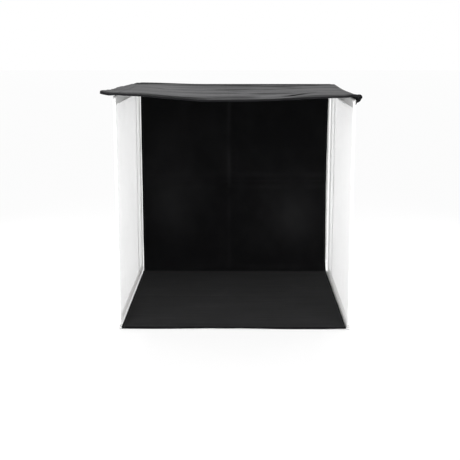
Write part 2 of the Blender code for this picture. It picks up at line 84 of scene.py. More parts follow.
# Cloths and their small forms
MERGE = 0.01 * MM
HEM_WALL = 0.35 * MM
HEM_EASE = 0.15 * MM
SEAM_HALF = 0.6 * MM
NOSE_STEPS = 5
TAPER_STEPS = 6
HEM_SIDE_STEPS = 120
HEM_CORNER_STEPS = 8
HEM_CORNER = 14 * MM
HEM_PUCKERS = (0.15, 11 * MM)
HEM_WAVES = (0.28, 45 * MM)
HEM_SWELL, HEM_SWELLS = 0.1, (16 * MM, 9 * MM)
HEM_HOLD = 4 * MM
SEAM_CORNER = 2 * MM
CLOTH_STEP = 4 * MM
TUCK = 1.5 * MM
DIFFUSER_CLOTH = 0.35 * MM
STITCH_PITCH = 3.4 * MM
STITCH_LENGTH = 2.5 * MM
STITCH_THICKNESS = 0.5 * MM
STITCH_INSET = 1.7 * MM
HEM_STITCH_OUT, PANEL_STITCH_OUT, TAPE_STITCH_OUT = 0.75 * MM, 0.5 * MM, 0.1 * MM
SEAM_POINTS = 160
PANEL_SEAM_FROM_REAR = 80 * MM
PANEL_SEAM_WIDTH = 7 * MM
PANEL_SEAM_RISE = 0.28 * MM
PANEL_SEAM_ROWS = 150
PANEL_SEAM_PUCKER, PANEL_SEAM_PUCKERS = 0.06 * MM, (4 * MM, 6 * MM)
TAPE_BASE = 0.45 * MM
TAPE_GAP = 0.2 * MM
TAPE_SELVEDGE = 1.6 * MM
TAPE_EDGE = 1.2 * MM
PILE_PITCH = (1.75 * MM, 1.7 * MM)
HINGE_CLOTH = 0.35 * MM
HINGE_HOLD = 4 * MM
HINGE_END = 1 * MM
WALL_RISE = {"left": 3.5 * MM, "right": 1 * MM, "back": 0}
WALL_RISE_HEIGHT = 150 * MM
WALL_RISE_DEPTH = 330 * MM

Wall = namedtuple("Wall", "name body near far base top hem top_hem middle half side seed")
Fastener = namedtuple("Fastener", "tape fibre thread slot form")


def linear(code):
    """An sRGB hex colour as the linear values that a shader takes."""
    parts = [int(code[place:place + 2], 16) / 255 for place in (1, 3, 5)]
    return (*[part / 12.92 if part <= 0.04045 else ((part + 0.055) / 1.055) ** 2.4 for part in parts], 1.0)


def add(tree, kind, inputs=None, **settings):
    """Adds one node, with its settings, and with a value or a link for each input named.

    A link comes from a socket, or from a node's first output.
    """
    node = tree.nodes.new(kind)
    for name, value in settings.items():
        setattr(node, name, value)
    for socket, value in (inputs or {}).items():
        if isinstance(value, bpy.types.Node):
            value = value.outputs[0]
        if isinstance(value, bpy.types.NodeSocket):
            tree.links.new(value, node.inputs[socket])
        else:
            node.inputs[socket].default_value = value
    return node


def link(name, data, material=None):
    """A new object that shows the given data, in a material if it has none yet."""
    made = bpy.data.objects.new(name, data)
    bpy.context.scene.collection.objects.link(made)
    if material and not data.materials:
        data.materials.append(material)
    return made


def new_surface(name):
    """An empty material of the given name, and its tree."""
    material = bpy.data.materials.new(name)
    material.use_nodes = True
    material.node_tree.nodes.clear()
    return material, material.node_tree


# Camera and light

def set_camera():
    """The photograph's own view: a little above the tent and almost straight from the front."""
    lens = bpy.data.cameras.new("photo_camera")
    lens.sensor_width = SENSOR
    lens.lens = FOCAL_PIXELS / PHOTO_WIDTH * SENSOR
    made = link("photo_camera", lens)
    made.location = CAMERA_PLACE
    made.rotation_euler = CAMERA_TURN
    bpy.context.scene.camera = made


def seen_share(tree):
    """1 for a ray from the camera, a mirror or a clear piece, and 0 for one that lights the tent."""
    ray = add(tree, "ShaderNodeLightPath").outputs
    either = add(tree, "ShaderNodeMath", {0: ray["Is Camera Ray"], 1: ray["Is Glossy Ray"]},
                 operation="MAXIMUM")
    return add(tree, "ShaderNodeMath", {0: either, 1: ray["Is Transmission Ray"]}, operation="MAXIMUM")


def set_world():
    """A white world where it is seen or mirrored, and a softer even light elsewhere."""
    world = bpy.data.worlds.new("white_studio")
    world.use_nodes = True
    tree = world.node_tree
    tree.nodes.clear()
    power = add(tree, "ShaderNodeMapRange", {"Value": seen_share(tree), "To Min": WORLD_LIGHT, "To Max": 1.0})
    white = add(tree, "ShaderNodeBackground", {"Color": WHITE, "Strength": power})
    add(tree, "ShaderNodeOutputWorld", {"Surface": white})
    bpy.context.scene.world = world


def soft_light(name, place, aim, size, watts):
    """A square softbox that lights the tent and isn't seen itself."""
    lamp = bpy.data.lights.new(name, "AREA")
    lamp.shape = "SQUARE"
    lamp.size = size
    lamp.energy = watts
    made = link(name, lamp)
    made.location = place
    made.rotation_euler = (Vector(aim) - Vector(place)).to_track_quat("-Z", "Y").to_euler()
    made.visible_camera = False
    made.visible_glossy = False


def white_table():
    """A large pale floor with a faint gloss, which keeps the tent's shadow and its dim reflection."""
    form = bmesh.new()
    bmesh.ops.create_grid(form, x_segments=1, y_segments=1, size=TABLE_HALF)
    mesh = bpy.data.meshes.new("white_table")
    form.to_mesh(mesh)
    form.free()
    material, tree = new_surface("satin_white_table")
    satin = add(tree, "ShaderNodeBsdfPrincipled", {
        "Base Color": linear("#F6F6F6"), "Roughness": 0.16, "Specular IOR Level": 0.12})
    glow = add(tree, "ShaderNodeEmission", {"Color": WHITE, "Strength": 1.0})
    share = add(tree, "ShaderNodeMath", {0: seen_share(tree), 1: TABLE_GLOW}, operation="MULTIPLY")
    mixed = add(tree, "ShaderNodeMixShader", {0: share, 1: satin, 2: glow})
    add(tree, "ShaderNodeOutputMaterial", {"Surface": mixed})
    link("white_table", mesh, material)


set_camera()
set_world()
for softbox in SOFTBOXES:
    soft_light(*softbox)
white_table()
bpy.context.scene.view_settings.view_transform = "Standard"


# Materials, and the real sizes of their patterns

CLOTH_PATCH, COATING_RELIEF = 35 * MM, 0.06 * MM
NAP_PATCH, FIBRE, FIBRE_RELIEF = 9 * MM, 1.6 * MM, 0.35 * MM
THREAD_PATCH, PLY, PLY_RELIEF = 2 * MM, 0.4 * MM, 0.1 * MM
METAL_PATCH, SCRATCH_RELIEF = 6 * MM, 0.02 * MM
BOARD_PATCH, FLECK, FLECK_RELIEF = 30 * MM, 3 * MM, 0.1 * MM


def weave(tree, pitch):
    """The height of a plain weave on the piece's own cloth coordinates, one thread every pitch."""
    cloth = add(tree, "ShaderNodeUVMap", uv_map="cloth")
    axes = add(tree, "ShaderNodeSeparateXYZ", {0: cloth})
    waves = []
    for axis in (0, 1):
        turned = add(tree, "ShaderNodeMath", {0: axes.outputs[axis], 1: math.pi / pitch},
                     operation="MULTIPLY")
        waves.append(add(tree, "ShaderNodeMath", {0: turned}, operation="SINE"))
    both = add(tree, "ShaderNodeMath", {0: waves[0], 1: waves[1]}, operation="MULTIPLY")
    return cloth, both


def mottle(tree, place, size, low, high, detail=3.0):
    """A soft uneven tone between two colours, with patches of about the given size."""
    patches = add(tree, "ShaderNodeTexNoise", {"Vector": place, "Scale": 1 / size, "Detail": detail})
    tone = add(tree, "ShaderNodeMix", {"Factor": patches.outputs["Fac"], "A": linear(low), "B": linear(high)},
               data_type="RGBA")
    return tone.outputs["Result"]


def paled_by_tone_and_light(tree, plain, pale):
    """A cloth's tone, which turns from plain to pale with its attribute of own tone and painted light and
    shade, and that attribute itself.
    """
    nap = add(tree, "ShaderNodeAttribute", attribute_name="nap").outputs["Fac"]
    tone = add(tree, "ShaderNodeMix", {"Factor": nap, "A": plain, "B": linear(pale)}, data_type="RGBA")
    return tone.outputs["Result"], nap


def shade(tree, tone, height, depth, sockets):
    """Ends a material with its shader: a tone, a relief of the given depth, and the shader's own values."""
    relief = add(tree, "ShaderNodeBump", {"Height": height, "Distance": depth})
    shader = add(tree, "ShaderNodeBsdfPrincipled", {"Base Color": tone, "Normal": relief, **sockets})
    add(tree, "ShaderNodeOutputMaterial", {"Surface": shader})


def woven(name, low, high, pitch, depth, sockets):
    """A woven cloth: slightly uneven colour, and threads as bump.

    The real threads are 0.2 to 0.4 mm apart. They are drawn at about three times that, so that they show.
    """
    material, tree = new_surface(name)
    cloth, threads = weave(tree, pitch)
    shade(tree, mottle(tree, cloth, CLOTH_PATCH, low, high), threads, depth, sockets)
    return material


def napped(name, low, high, pale, sockets):
    """A napped cloth: short brushed fibres that scatter light, paler with its own uneven nap and with painted
    highlights and painted lamp light.
    """
    material, tree = new_surface(name)
    cloth = add(tree, "ShaderNodeUVMap", uv_map="cloth")
    tone = paled_by_tone_and_light(tree, mottle(tree, cloth, NAP_PATCH, low, high, 6.0), pale)[0]
    fibres = add(tree, "ShaderNodeTexNoise", {"Vector": cloth, "Scale": 1 / FIBRE, "Detail": 4.0})
    shade(tree, tone, fibres.outputs["Fac"], FIBRE_RELIEF, sockets)
    return material


def coated(name, low, high, pale, pitch, sockets):
    """A coated cloth with painted light: duller and darker in its painted shade, paler and glossier in its
    painted highlights.
    """
    material, tree = new_surface(name)
    cloth, threads = weave(tree, pitch)
    tone, nap = paled_by_tone_and_light(tree, mottle(tree, cloth, CLOTH_PATCH, low, high), pale)
    # Its specular level rises with the painted highlights and falls in the painted shade
    gloss = add(tree, "ShaderNodeMapRange", {"Value": nap, "From Max": PAINTED_SHEEN, "To Min": 0.02, "To Max": 0.3})
    shade(tree, tone, threads, COATING_RELIEF, {"Specular IOR Level": gloss, **sockets})
    return material


def plain_thread(name, low, high):
    """Twisted sewing thread, matt, with a little tone from stitch to stitch."""
    material, tree = new_surface(name)
    place = add(tree, "ShaderNodeTexCoord").outputs["Object"]
    ply = add(tree, "ShaderNodeTexNoise", {"Vector": place, "Scale": 1 / PLY, "Detail": 2.0})
    shade(tree, mottle(tree, place, THREAD_PATCH, low, high, 2.0), ply.outputs["Fac"], PLY_RELIEF,
          {"Roughness": 0.7, "Sheen Weight": 0.1})
    return material


def drawn_metal(name, low, high, roughness, grain):
    """Bare metal with fine scratches and slightly uneven polish."""
    material, tree = new_surface(name)
    place = add(tree, "ShaderNodeTexCoord").outputs["Object"]
    lines = add(tree, "ShaderNodeTexNoise", {"Vector": place, "Scale": 1 / grain, "Detail": 5.0})
    gloss = add(tree, "ShaderNodeMapRange", {
        "Value": lines.outputs["Fac"], "To Min": roughness - 0.08, "To Max": roughness + 0.1})
    shade(tree, mottle(tree, place, METAL_PATCH, low, high), lines.outputs["Fac"], SCRATCH_RELIEF,
          {"Metallic": 1.0, "Roughness": gloss})
    return material


def fibre_board(name):
    """Pressed fibre board: grey brown, with darker flecks and a slightly fuzzy face."""
    material, tree = new_surface(name)
    place = add(tree, "ShaderNodeTexCoord").outputs["Object"]
    tone = mottle(tree, place, BOARD_PATCH, "#A59F94", "#B5AFA5")
    flecks = add(tree, "ShaderNodeTexVoronoi", {"Vector": place, "Scale": 1 / FLECK}).outputs["Distance"]
    dark = add(tree, "ShaderNodeMapRange", {"Value": flecks, "From Max": 0.25, "To Min": 0.35, "To Max": 0.0})
    spotted = add(tree, "ShaderNodeMix", {"Factor": dark, "A": tone, "B": linear("#7A7266")},
                  data_type="RGBA")
    shade(tree, spotted.outputs["Result"], flecks, FLECK_RELIEF, {"Roughness": 0.85})
    return material


# A thin white cloth: light that falls on one face spreads through it to the other.
THIN_CLOTH = {"Subsurface Weight": 1.0, "Subsurface Radius": (1.0, 1.0, 1.0)}
# Taffeta woven of white nylon: matt, and thin enough that some light comes through.
WHITE_NYLON = woven("white_nylon_taffeta", "#EFEFED", "#F6F6F5", 0.8 * MM, 0.05 * MM, {
    **THIN_CLOTH, "Subsurface Scale": 6 * MM, "Roughness": 0.62, "Sheen Weight": 0.08})
# Sheer diffuser nylon: light from outside spreads in it and glows on the inner face.
DIFFUSER_NYLON = woven("translucent_diffuser_nylon", "#F3F3F2", "#F9F9F8", 0.8 * MM, 0.04 * MM, {
    **THIN_CLOTH, "Subsurface Scale": 4 * MM, "Roughness": 0.55, "Sheen Weight": 0.05})
# Black nylon coated on one side: a smooth dark face with a soft broad gloss. Its pale colour is that of its
# painted highlights.
# The even level of the cover's painted sheen, which its painted shade lowers and its painted highlights raise
PAINTED_SHEEN = 0.35
BLACK_NYLON = coated("coated_black_nylon", "#0F0F11", "#161618", "#636365", 0.9 * MM, {"Roughness": 0.6})
# Brushed black cotton: fibres stand up, so that it stays dark and matt from every side.
# Its pale colour serves its uneven nap, and its painted fold highlights and painted pools of lamp light.
BLACK_CLOTH = napped("brushed_black_cotton", "#08080A", "#0F0F10", "#434344", {
    "Roughness": 0.95, "Sheen Weight": 0.03, "Sheen Roughness": 0.6, "Specular IOR Level": 0.1})
# Woven polyester tape of hook and loop fasteners.
WHITE_TAPE = woven("white_polyester_tape", "#EFEFED", "#F6F6F5", 1.1 * MM, 0.12 * MM, {
    **THIN_CLOTH, "Subsurface Scale": 8 * MM, "Roughness": 0.75})
BLACK_TAPE = woven("black_polyester_tape", "#141415", "#1D1D1E", 1.1 * MM, 0.12 * MM, {"Roughness": 0.85})
WHITE_HOOKS = plain_thread("white_nylon_hooks", "#EDEDEA", "#F6F6F4")
BLACK_LOOPS = plain_thread("black_nylon_loops", "#121213", "#1F1F20")
WHITE_THREAD = plain_thread("white_sewing_thread", "#DEDEDA", "#EEEEEB")
BLACK_THREAD = plain_thread("black_sewing_thread", "#101011", "#1C1C1D")
SPRING_STEEL = drawn_metal("drawn_spring_steel", "#A9ABAF", "#BFC1C4", 0.34, 0.5 * MM)
CRIMPED_ALUMINIUM = drawn_metal("crimped_aluminium", "#C4C6C8", "#D8D9DA", 0.42, 0.8 * MM)
GREY_BOARD = fibre_board("pressed_fibre_board")


# Meshes

def lattice(name, across, along, place, material, joins=False, nap=None):
    """A grid of cells. place(u, v) gives its points, and its flat cloth coordinates in metres.

    u and v are arrays from 0 to 1. joins closes a ring whose two ends meet.
    The last argument, given across and along, says how pale the cloth is, from its own tone and from painted
    light and shade, and is kept as an attribute of the same name.
    """
    form = bmesh.new()
    bmesh.ops.create_grid(form, x_segments=across, y_segments=along, size=0.5)
    mesh = bpy.data.meshes.new(name)
    form.to_mesh(mesh)
    form.free()
    spots = np.empty(3 * len(mesh.vertices))
    mesh.vertices.foreach_get("co", spots)
    points, flat = place(spots[0::3] + 0.5, spots[1::3] + 0.5)
    mesh.vertices.foreach_set("co", points.ravel())
    corners = np.empty(len(mesh.loops), int)
    mesh.loops.foreach_get("vertex_index", corners)
    mesh.uv_layers.new(name="cloth").data.foreach_set("uv", flat[corners].ravel())
    if nap:
        mesh.attributes.new("nap", "FLOAT", "POINT").data.foreach_set("value", nap(*flat.T))
    if joins:
        form = bmesh.new()
        form.from_mesh(mesh)
        bmesh.ops.remove_doubles(form, verts=form.verts, dist=MERGE)
        bmesh.ops.recalc_face_normals(form, faces=form.faces)
        if form.calc_volume(signed=True) < 0:
            bmesh.ops.reverse_faces(form, faces=form.faces)
        form.to_mesh(mesh)
        form.free()
    mesh.update()
    mesh.shade_smooth()
    return link(name, mesh, material)


def thicken(piece, thickness, offset=0.0):
    """Gives a cloth its thickness: about its middle, or inwards with an offset of -1."""
    shell = piece.modifiers.new("cloth", "SOLIDIFY")
    shell.thickness = thickness
    shell.offset = offset
    shell.use_quality_normals = True
    return bake(piece)


def bake(piece):
    """Replaces a piece's mesh by its evaluated one, and drops the modifiers."""
    graph = bpy.context.evaluated_depsgraph_get()
    mesh = bpy.data.meshes.new_from_object(piece.evaluated_get(graph))
    mesh.name = piece.name
    piece.modifiers.clear()
    piece.data = mesh
    return piece


def ripple(across, along, width, length, seed):
    """Smooth noise from about -1 to 1, its bumps about width across and length along."""
    return np.array([noise.noise(Vector((a / width, b / length, seed)))
                     for a, b in zip(np.ravel(across), np.ravel(along))])


def bumps(across, along, width, length, seed):
    """The same noise from about 0 to 1."""
    return 0.5 + 0.5 * ripple(across, along, width, length, seed)


def smooth(share):
    """0 below 0, 1 above 1, and an even ease between."""
    share = np.clip(share, 0, 1)
    return share * share * (3 - 2 * share)


def ridge(distance, width):
    """1 on a line, falling softly to 0 beside it."""
    return np.exp(-(distance / width) ** 2)


def run_along(points):
    """The length of the way along a row of points, at each of them."""
    return np.concatenate([[0], np.cumsum(np.linalg.norm(np.diff(points, axis=0), axis=1))])


def at_share(profile, share):
    """The two coordinates of a profile at a share of the way along it."""
    run = run_along(profile)
    return [np.interp(share * run[-1], run, profile[:, axis]) for axis in (0, 1)]


def carry(body, slot, *pieces):
    """Lets pieces ride on a body. The slot is not used."""
    for piece in pieces:
        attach(piece, body)


# Repeats

def repeat_tree(name, inputs, output):
    """A Geometry Nodes tree with its named inputs by kind, and the sockets that give them."""
    tree = bpy.data.node_groups.new(name, "GeometryNodeTree")
    for kind, labels in inputs.items():
        for label in labels:
            tree.interface.new_socket(label, in_out="INPUT", socket_type=f"NodeSocket{kind}")
    tree.interface.new_socket(output, in_out="OUTPUT", socket_type="NodeSocketGeometry")
    return tree, add(tree, "NodeGroupInput").outputs


def stitch_tree():
    """Short thread stitches, one every Pitch along the lines that come in."""
    tree, given = repeat_tree("stitch_rows", {
        "Geometry": ["Lines"], "Float": ["Pitch", "Length", "Thickness"], "Material": ["Thread"]}, "Stitches")
    line = add(tree, "GeometryNodeMeshToCurve", {0: given["Lines"]})
    spaced = add(tree, "GeometryNodeResampleCurve", {"Curve": line, "Length": given["Pitch"]}, mode="LENGTH")
    ball = add(tree, "GeometryNodeMeshUVSphere", {"Segments": 6, "Rings": 4, "Radius": 0.5})
    size = add(tree, "ShaderNodeCombineXYZ", {
        0: given["Length"], 1: given["Thickness"], 2: given["Thickness"]})
    stitch = add(tree, "GeometryNodeTransform", {"Geometry": ball, "Scale": size})
    run = add(tree, "GeometryNodeInputTangent")
    turn = add(tree, "FunctionNodeAlignRotationToVector", {"Vector": run}, axis="X")
    copies = add(tree, "GeometryNodeInstanceOnPoints", {
        "Points": spaced, "Instance": stitch, "Rotation": turn})
    real = add(tree, "GeometryNodeRealizeInstances", {0: copies})
    soft = add(tree, "GeometryNodeSetShadeSmooth", {0: real})
    coloured = add(tree, "GeometryNodeSetMaterial", {"Geometry": soft, "Material": given["Thread"]})
    add(tree, "NodeGroupOutput", {0: coloured})
    return tree


def pile_tree():
    """Bent bristles on every point that comes in: hooks, or the arches of a loop tape."""
    tree, given = repeat_tree("fastener_pile", {
        "Geometry": ["Face"], "Vector": ["Start", "Rise", "Bow", "End"], "Float": ["Thickness", "Turn"],
        "Int": ["Seed"], "Material": ["Fibre"]}, "Pile")
    bend = add(tree, "GeometryNodeCurvePrimitiveBezierSegment", {
        "Resolution": 6, "Start": given["Start"], "Start Handle": given["Rise"],
        "End Handle": given["Bow"], "End": given["End"]})
    ring = add(tree, "GeometryNodeCurvePrimitiveCircle", {"Resolution": 3, "Radius": given["Thickness"]})
    bristle = add(tree, "GeometryNodeCurveToMesh", {"Curve": bend, "Profile Curve": ring, "Fill Caps": True})
    facing = add(tree, "GeometryNodeInputNamedAttribute", {"Name": "facing"}, data_type="FLOAT_VECTOR")
    stand = add(tree, "FunctionNodeAlignRotationToVector", {"Vector": facing.outputs["Attribute"]}, axis="Z")
    spin = add(tree, "FunctionNodeRandomValue", {"Max": given["Turn"], "Seed": given["Seed"]},
               data_type="FLOAT")
    about = add(tree, "ShaderNodeCombineXYZ", {2: spin.outputs[1]})
    turned = add(tree, "FunctionNodeRotateRotation", {0: stand, 1: about}, rotation_space="LOCAL")
    copies = add(tree, "GeometryNodeInstanceOnPoints", {
        "Points": given["Face"], "Instance": bristle, "Rotation": turned})
    real = add(tree, "GeometryNodeRealizeInstances", {0: copies})
    coloured = add(tree, "GeometryNodeSetMaterial", {"Geometry": real, "Material": given["Fibre"]})
    add(tree, "NodeGroupOutput", {0: coloured})
    return tree


STITCHES = stitch_tree()
PILE = pile_tree()


def grow(piece, tree, values):
    """Runs a tree on a piece and keeps the plain mesh that it makes."""
    run = piece.modifiers.new("repeat", "NODES")
    run.node_group = tree
    for socket in tree.interface.items_tree:
        if socket.in_out == "INPUT" and socket.name in values:
            run[socket.identifier] = values[socket.name]
    return bake(piece)


def stitches(name, lines, thread):
    """Rows of stitches along lines of points. A line is open unless it ends where it starts."""
    mesh = bpy.data.meshes.new(name)
    points, edges = [], []
    for line in lines:
        start = len(points)
        points += [tuple(point) for point in line]
        edges += [(step, step + 1) for step in range(start, len(points) - 1)]
    mesh.from_pydata(points, edges, [])
    return grow(link(name, mesh), STITCHES, {"Pitch": STITCH_PITCH, "Length": STITCH_LENGTH,
                                             "Thickness": STITCH_THICKNESS, "Thread": thread})


HOOKS = Fastener(WHITE_TAPE, WHITE_HOOKS, WHITE_THREAD, "white_tape", {
    "Start": (0, 0, 0), "Rise": (0, 0, 0.9 * MM), "Bow": (0.55 * MM, 0, 0.9 * MM),
    "End": (0.5 * MM, 0, 0.4 * MM), "Thickness": 0.12 * MM, "Turn": 0.5})
LOOPS = Fastener(BLACK_TAPE, BLACK_LOOPS, BLACK_THREAD, "black_tape", {
    "Start": (-0.5 * MM, 0, 0), "Rise": (-0.7 * MM, 0, 0.8 * MM), "Bow": (0.7 * MM, 0, 0.7 * MM),
    "End": (0.4 * MM, 0, 0), "Thickness": 0.08 * MM, "Turn": 2 * math.pi})


def pile(name, spots, facing, kind, seed):
    """Hooks or loops that stand on the given spots, each along the way that it faces."""
    mesh = bpy.data.meshes.new(name)
    mesh.from_pydata([tuple(spot) for spot in spots], [], [])
    mesh.attributes.new("facing", "FLOAT_VECTOR", "POINT").data.foreach_set("vector", facing.ravel())
    return grow(link(name, mesh), PILE, {**kind.form, "Fibre": kind.fibre, "Seed": seed})


def fastener_tape(node, body, place, size, kind, seed):
    """A woven fastener tape: its base, the rows of hooks or loops on its face, and its two seams.

    place(across, along, lift) gives points that lie lift above the middle of the base.
    """
    width, length = size

    def flat(u, v):
        return place(width * u, length * v, 0 * u), np.stack([width * u, length * v], 1)

    base = lattice(f"{node}_base", 10, round(length / CLOTH_STEP), flat, kind.tape)
    thicken(base, TAPE_BASE)
    rows = np.arange(TAPE_SELVEDGE, width - TAPE_SELVEDGE, PILE_PITCH[0])
    steps = np.arange(PILE_PITCH[1], length - PILE_PITCH[1], PILE_PITCH[1])
    across, along = [grid.ravel() for grid in np.meshgrid(rows, steps)]
    draw = np.random.default_rng(seed)
    across = across + draw.uniform(-0.3, 0.3, across.size) * PILE_PITCH[0]
    along = along + draw.uniform(-0.3, 0.3, along.size) * PILE_PITCH[1]
    face = place(across, along, np.full_like(across, TAPE_BASE / 2))
    facing = place(across, along, np.full_like(across, 2 * TAPE_BASE)) - face
    fibres = pile(f"{node}_pile", face, facing, kind, seed)
    ends = np.linspace(STITCH_PITCH / 2, length - STITCH_PITCH / 2, round(length / STITCH_PITCH))
    lines = [place(np.full_like(ends, edge), ends, np.full_like(ends, TAPE_BASE / 2 + TAPE_STITCH_OUT))
             for edge in (TAPE_SELVEDGE / 2, width - TAPE_SELVEDGE / 2)]
    sewn = stitches(f"{node}_stitches", lines, kind.thread)
    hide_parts(node)
    carry(body, kind.slot, base, fibres, sewn)
    return [base, fibres, sewn]


# Walls

def frame_wall(name, near_edge, far_edge, side, seed):
    """A wall's planes and widths, read from its hems. A wall with no side stands across the back."""
    near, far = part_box(f"{name}_{near_edge}_hem")[0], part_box(f"{name}_{far_edge}_hem")[1]
    foot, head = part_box(f"{name}_bottom_hem"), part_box(f"{name}_top_hem")
    run, out = (1, 0) if side else (0, 1)
    low, high = sorted((abs(foot[0][out]), abs(foot[1][out])))
    return Wall(name, f"{name}_wall", near[run], far[run], foot[0].z, head[1].z, foot[1].z - foot[0].z,
                head[1].z - head[0].z, (low + high) / 2, (high - low) / 2, side, seed)


def spot(wall, across, up, out):
    """World places on a wall: across it, up, and out from its middle plane. Its top rises in front."""
    across, up, out = np.broadcast_arrays(across, up, out)
    up = up + (WALL_RISE[wall.name] * smooth((up - wall.top) / WALL_RISE_HEIGHT + 1)
               * smooth((wall.near - across) / WALL_RISE_DEPTH + 1))
    if wall.side:
        return np.stack([wall.side * (wall.middle + out), across, up], axis=-1)
    return np.stack([across, wall.middle + out, up], axis=-1)


def rounded_loop(low, high, radius):
    """Points round a rectangle with round corners, the same count on each side and in each corner."""
    turns = ((high[0] - radius, low[1] + radius, -90), (high[0] - radius, high[1] - radius, 0),
             (low[0] + radius, high[1] - radius, 90), (low[0] + radius, low[1] + radius, 180))
    points = []
    for across, up, start in turns:
        corner = [(across + radius * math.cos(math.radians(start + 90 * step / HEM_CORNER_STEPS)),
                   up + radius * math.sin(math.radians(start + 90 * step / HEM_CORNER_STEPS)))
                  for step in range(HEM_CORNER_STEPS + 1)]
        if points:
            points += straight(points[-1], corner[0])
        points += corner
    points += straight(points[-1], points[0])
    return np.array(points + points[:1])


def straight(start, end):
    """The inner points of a straight side between two corners."""
    shares = [step / HEM_SIDE_STEPS for step in range(1, HEM_SIDE_STEPS)]
    return [(start[0] + (end[0] - start[0]) * share, start[1] + (end[1] - start[1]) * share)
            for share in shares]


def hem_section(width, half):
    """Distances in from the edge and half thicknesses of a hem: round at its wire, thin at its seam."""
    angles = np.linspace(0, math.pi / 2, NOSE_STEPS + 1)
    shares = np.linspace(0, 1, TAPER_STEPS + 1)[1:]
    nose = half * (1 - np.cos(angles))
    depth = np.concatenate([np.tile(nose, (len(width), 1)),
                            half + np.outer(width - half, shares)], axis=1)
    thick = np.concatenate([half * np.sin(angles), SEAM_HALF + (half - SEAM_HALF) * (1 - smooth(shares))])
    return depth, np.tile(thick, (len(width), 1))


def hem_face(wall, deep, width):
    """How far a hem's face stands from the wall's middle, deep in from its edge. A tape bridges its nose."""
    half = wall.half - HEM_EASE
    return SEAM_HALF + (half - SEAM_HALF) * (1 - smooth((deep - half) / (width - half)))


def wall_hem(wall):
    """One hem that runs round the whole wall over its wire: a channel with a teardrop section."""
    outer = rounded_loop((wall.near, wall.base), (wall.far, wall.top), HEM_CORNER)
    inner = rounded_loop((wall.near + wall.hem, wall.base + wall.hem),
                         (wall.far - wall.hem, wall.top - wall.top_hem), SEAM_CORNER)
    width = np.linalg.norm(inner - outer, axis=1)
    inward = (inner - outer) / width[:, None]
    run = run_along(outer)
    depth, thick = hem_section(width, wall.half - HEM_EASE)
    turn = 2 * math.pi * run / run[-1]
    rings = 2 * (NOSE_STEPS + TAPER_STEPS) + 1

    def wrinkle(index, deep):
        """Puckers across the hem, and softer long ones where the cloth is loose at the seam."""
        loop = run[-1] / (2 * math.pi)
        across, up = loop * np.cos(turn[index]), loop * np.sin(turn[index])
        (fine, fine_size), (slow, slow_size) = HEM_PUCKERS, HEM_WAVES
        return (fine * ripple(across + deep, up - deep, fine_size, fine_size, wall.seed)
                + slow * ripple(across, up + 2 * deep, slow_size, slow_size, wall.seed + 5))

    def place(u, v):
        index = np.rint(u * (len(run) - 1)).astype(int)
        ring = np.rint(v * rings).astype(int)
        front = ring <= NOSE_STEPS + TAPER_STEPS
        level = np.where(front, ring, rings - ring)
        deep, high = depth[index, level], thick[index, level]
        loose = wrinkle(index, deep) * MM * smooth(deep / HEM_HOLD)
        flat = outer[index] + inward[index] * deep[:, None]
        swell = 1 + HEM_SWELL * ripple(run[index], deep, *HEM_SWELLS, wall.seed)
        out = np.where(front, 1, -1) * high * swell
        out = np.clip(out + 0.6 * loose, -wall.half, wall.half)
        return (spot(wall, flat[:, 0], flat[:, 1], out),
                np.stack([run[index], np.where(front, deep, -deep)], 1))

    piece = lattice(f"{wall.name}_hem", len(run) - 1, rings, place, WHITE_NYLON, joins=True)
    edges = {"left": ("front", "rear"), "right": ("front", "rear"), "back": ("left", "right")}[wall.name]
    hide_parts(*[f"{wall.name}_{edge}_hem" for edge in (*edges, "bottom", "top")])
    seam = outer + inward * (width - STITCH_INSET)[:, None]
    lines = [spot(wall, seam[:, 0], seam[:, 1], out) for out in (-HEM_STITCH_OUT, HEM_STITCH_OUT)]
    sewn = stitches(f"{wall.name}_hem_stitches", lines, WHITE_THREAD)
    carry(wall.body, "white_nylon", piece, sewn)
    return [piece, sewn]


# The wall cloths' relief in millimetres, and the width and length of the ripples in it
WALL_FOLD, WALL_LINE, TOP_CREASE, EDGE_PUCKER = 0.85, 0.55, 1.0, 0.35
WALL_FOLDS, WALL_LINES = (42 * MM, 420 * MM), (19 * MM, 160 * MM)
TOP_CREASES, EDGE_PUCKERS = (70 * MM, 9 * MM), (6 * MM, 6 * MM)
TOP_REACH, EDGE_REACH, EDGE_HELD = 34 * MM, 9 * MM, (5 * MM, 30 * MM)


def cloth_out(wall, across, up):
    """How far the wall's cloth stands out from its middle plane: soft folds, puckers and top creases."""
    left, right = wall.near + wall.hem, wall.far - wall.hem
    low, high = wall.base + wall.hem, wall.top - wall.top_hem
    edge = np.minimum(np.minimum(across - left, right - across), np.minimum(up - low, high - up))
    close, free = [smooth(edge / reach) for reach in EDGE_HELD]
    folds = WALL_FOLD * ripple(across, up, *WALL_FOLDS, wall.seed)
    folds += WALL_LINE * ripple(across + up / 4, up, *WALL_LINES, wall.seed + 1)
    creases = TOP_CREASE * ridge(high - up, TOP_REACH) * ripple(across, up, *TOP_CREASES, wall.seed + 2)
    pucker = EDGE_PUCKER * ridge(edge, EDGE_REACH) * ripple(across, up, *EDGE_PUCKERS, wall.seed + 3)
    return MM * (folds * free + (creases + pucker) * close)


def wall_cloth(wall, node, material, slot):
    """The cloth stretched inside a wall's hem, tucked a little way into its seam."""
    left, right = wall.near + wall.hem - TUCK, wall.far - wall.hem + TUCK
    low, high = wall.base + wall.hem - TUCK, wall.top - wall.top_hem + TUCK
    width, height = right - left, high - low

    def place(u, v):
        across, up = left + width * u, low + height * v
        return spot(wall, across, up, cloth_out(wall, across, up)), np.stack([across, up], 1)

    piece = lattice(f"{wall.name}_{node}_cloth", round(width / CLOTH_STEP), round(height / CLOTH_STEP),
                    place, material)
    thicken(piece, DIFFUSER_CLOTH)
    carry(wall.body, slot, piece)
    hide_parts(f"{wall.name}_{node}")


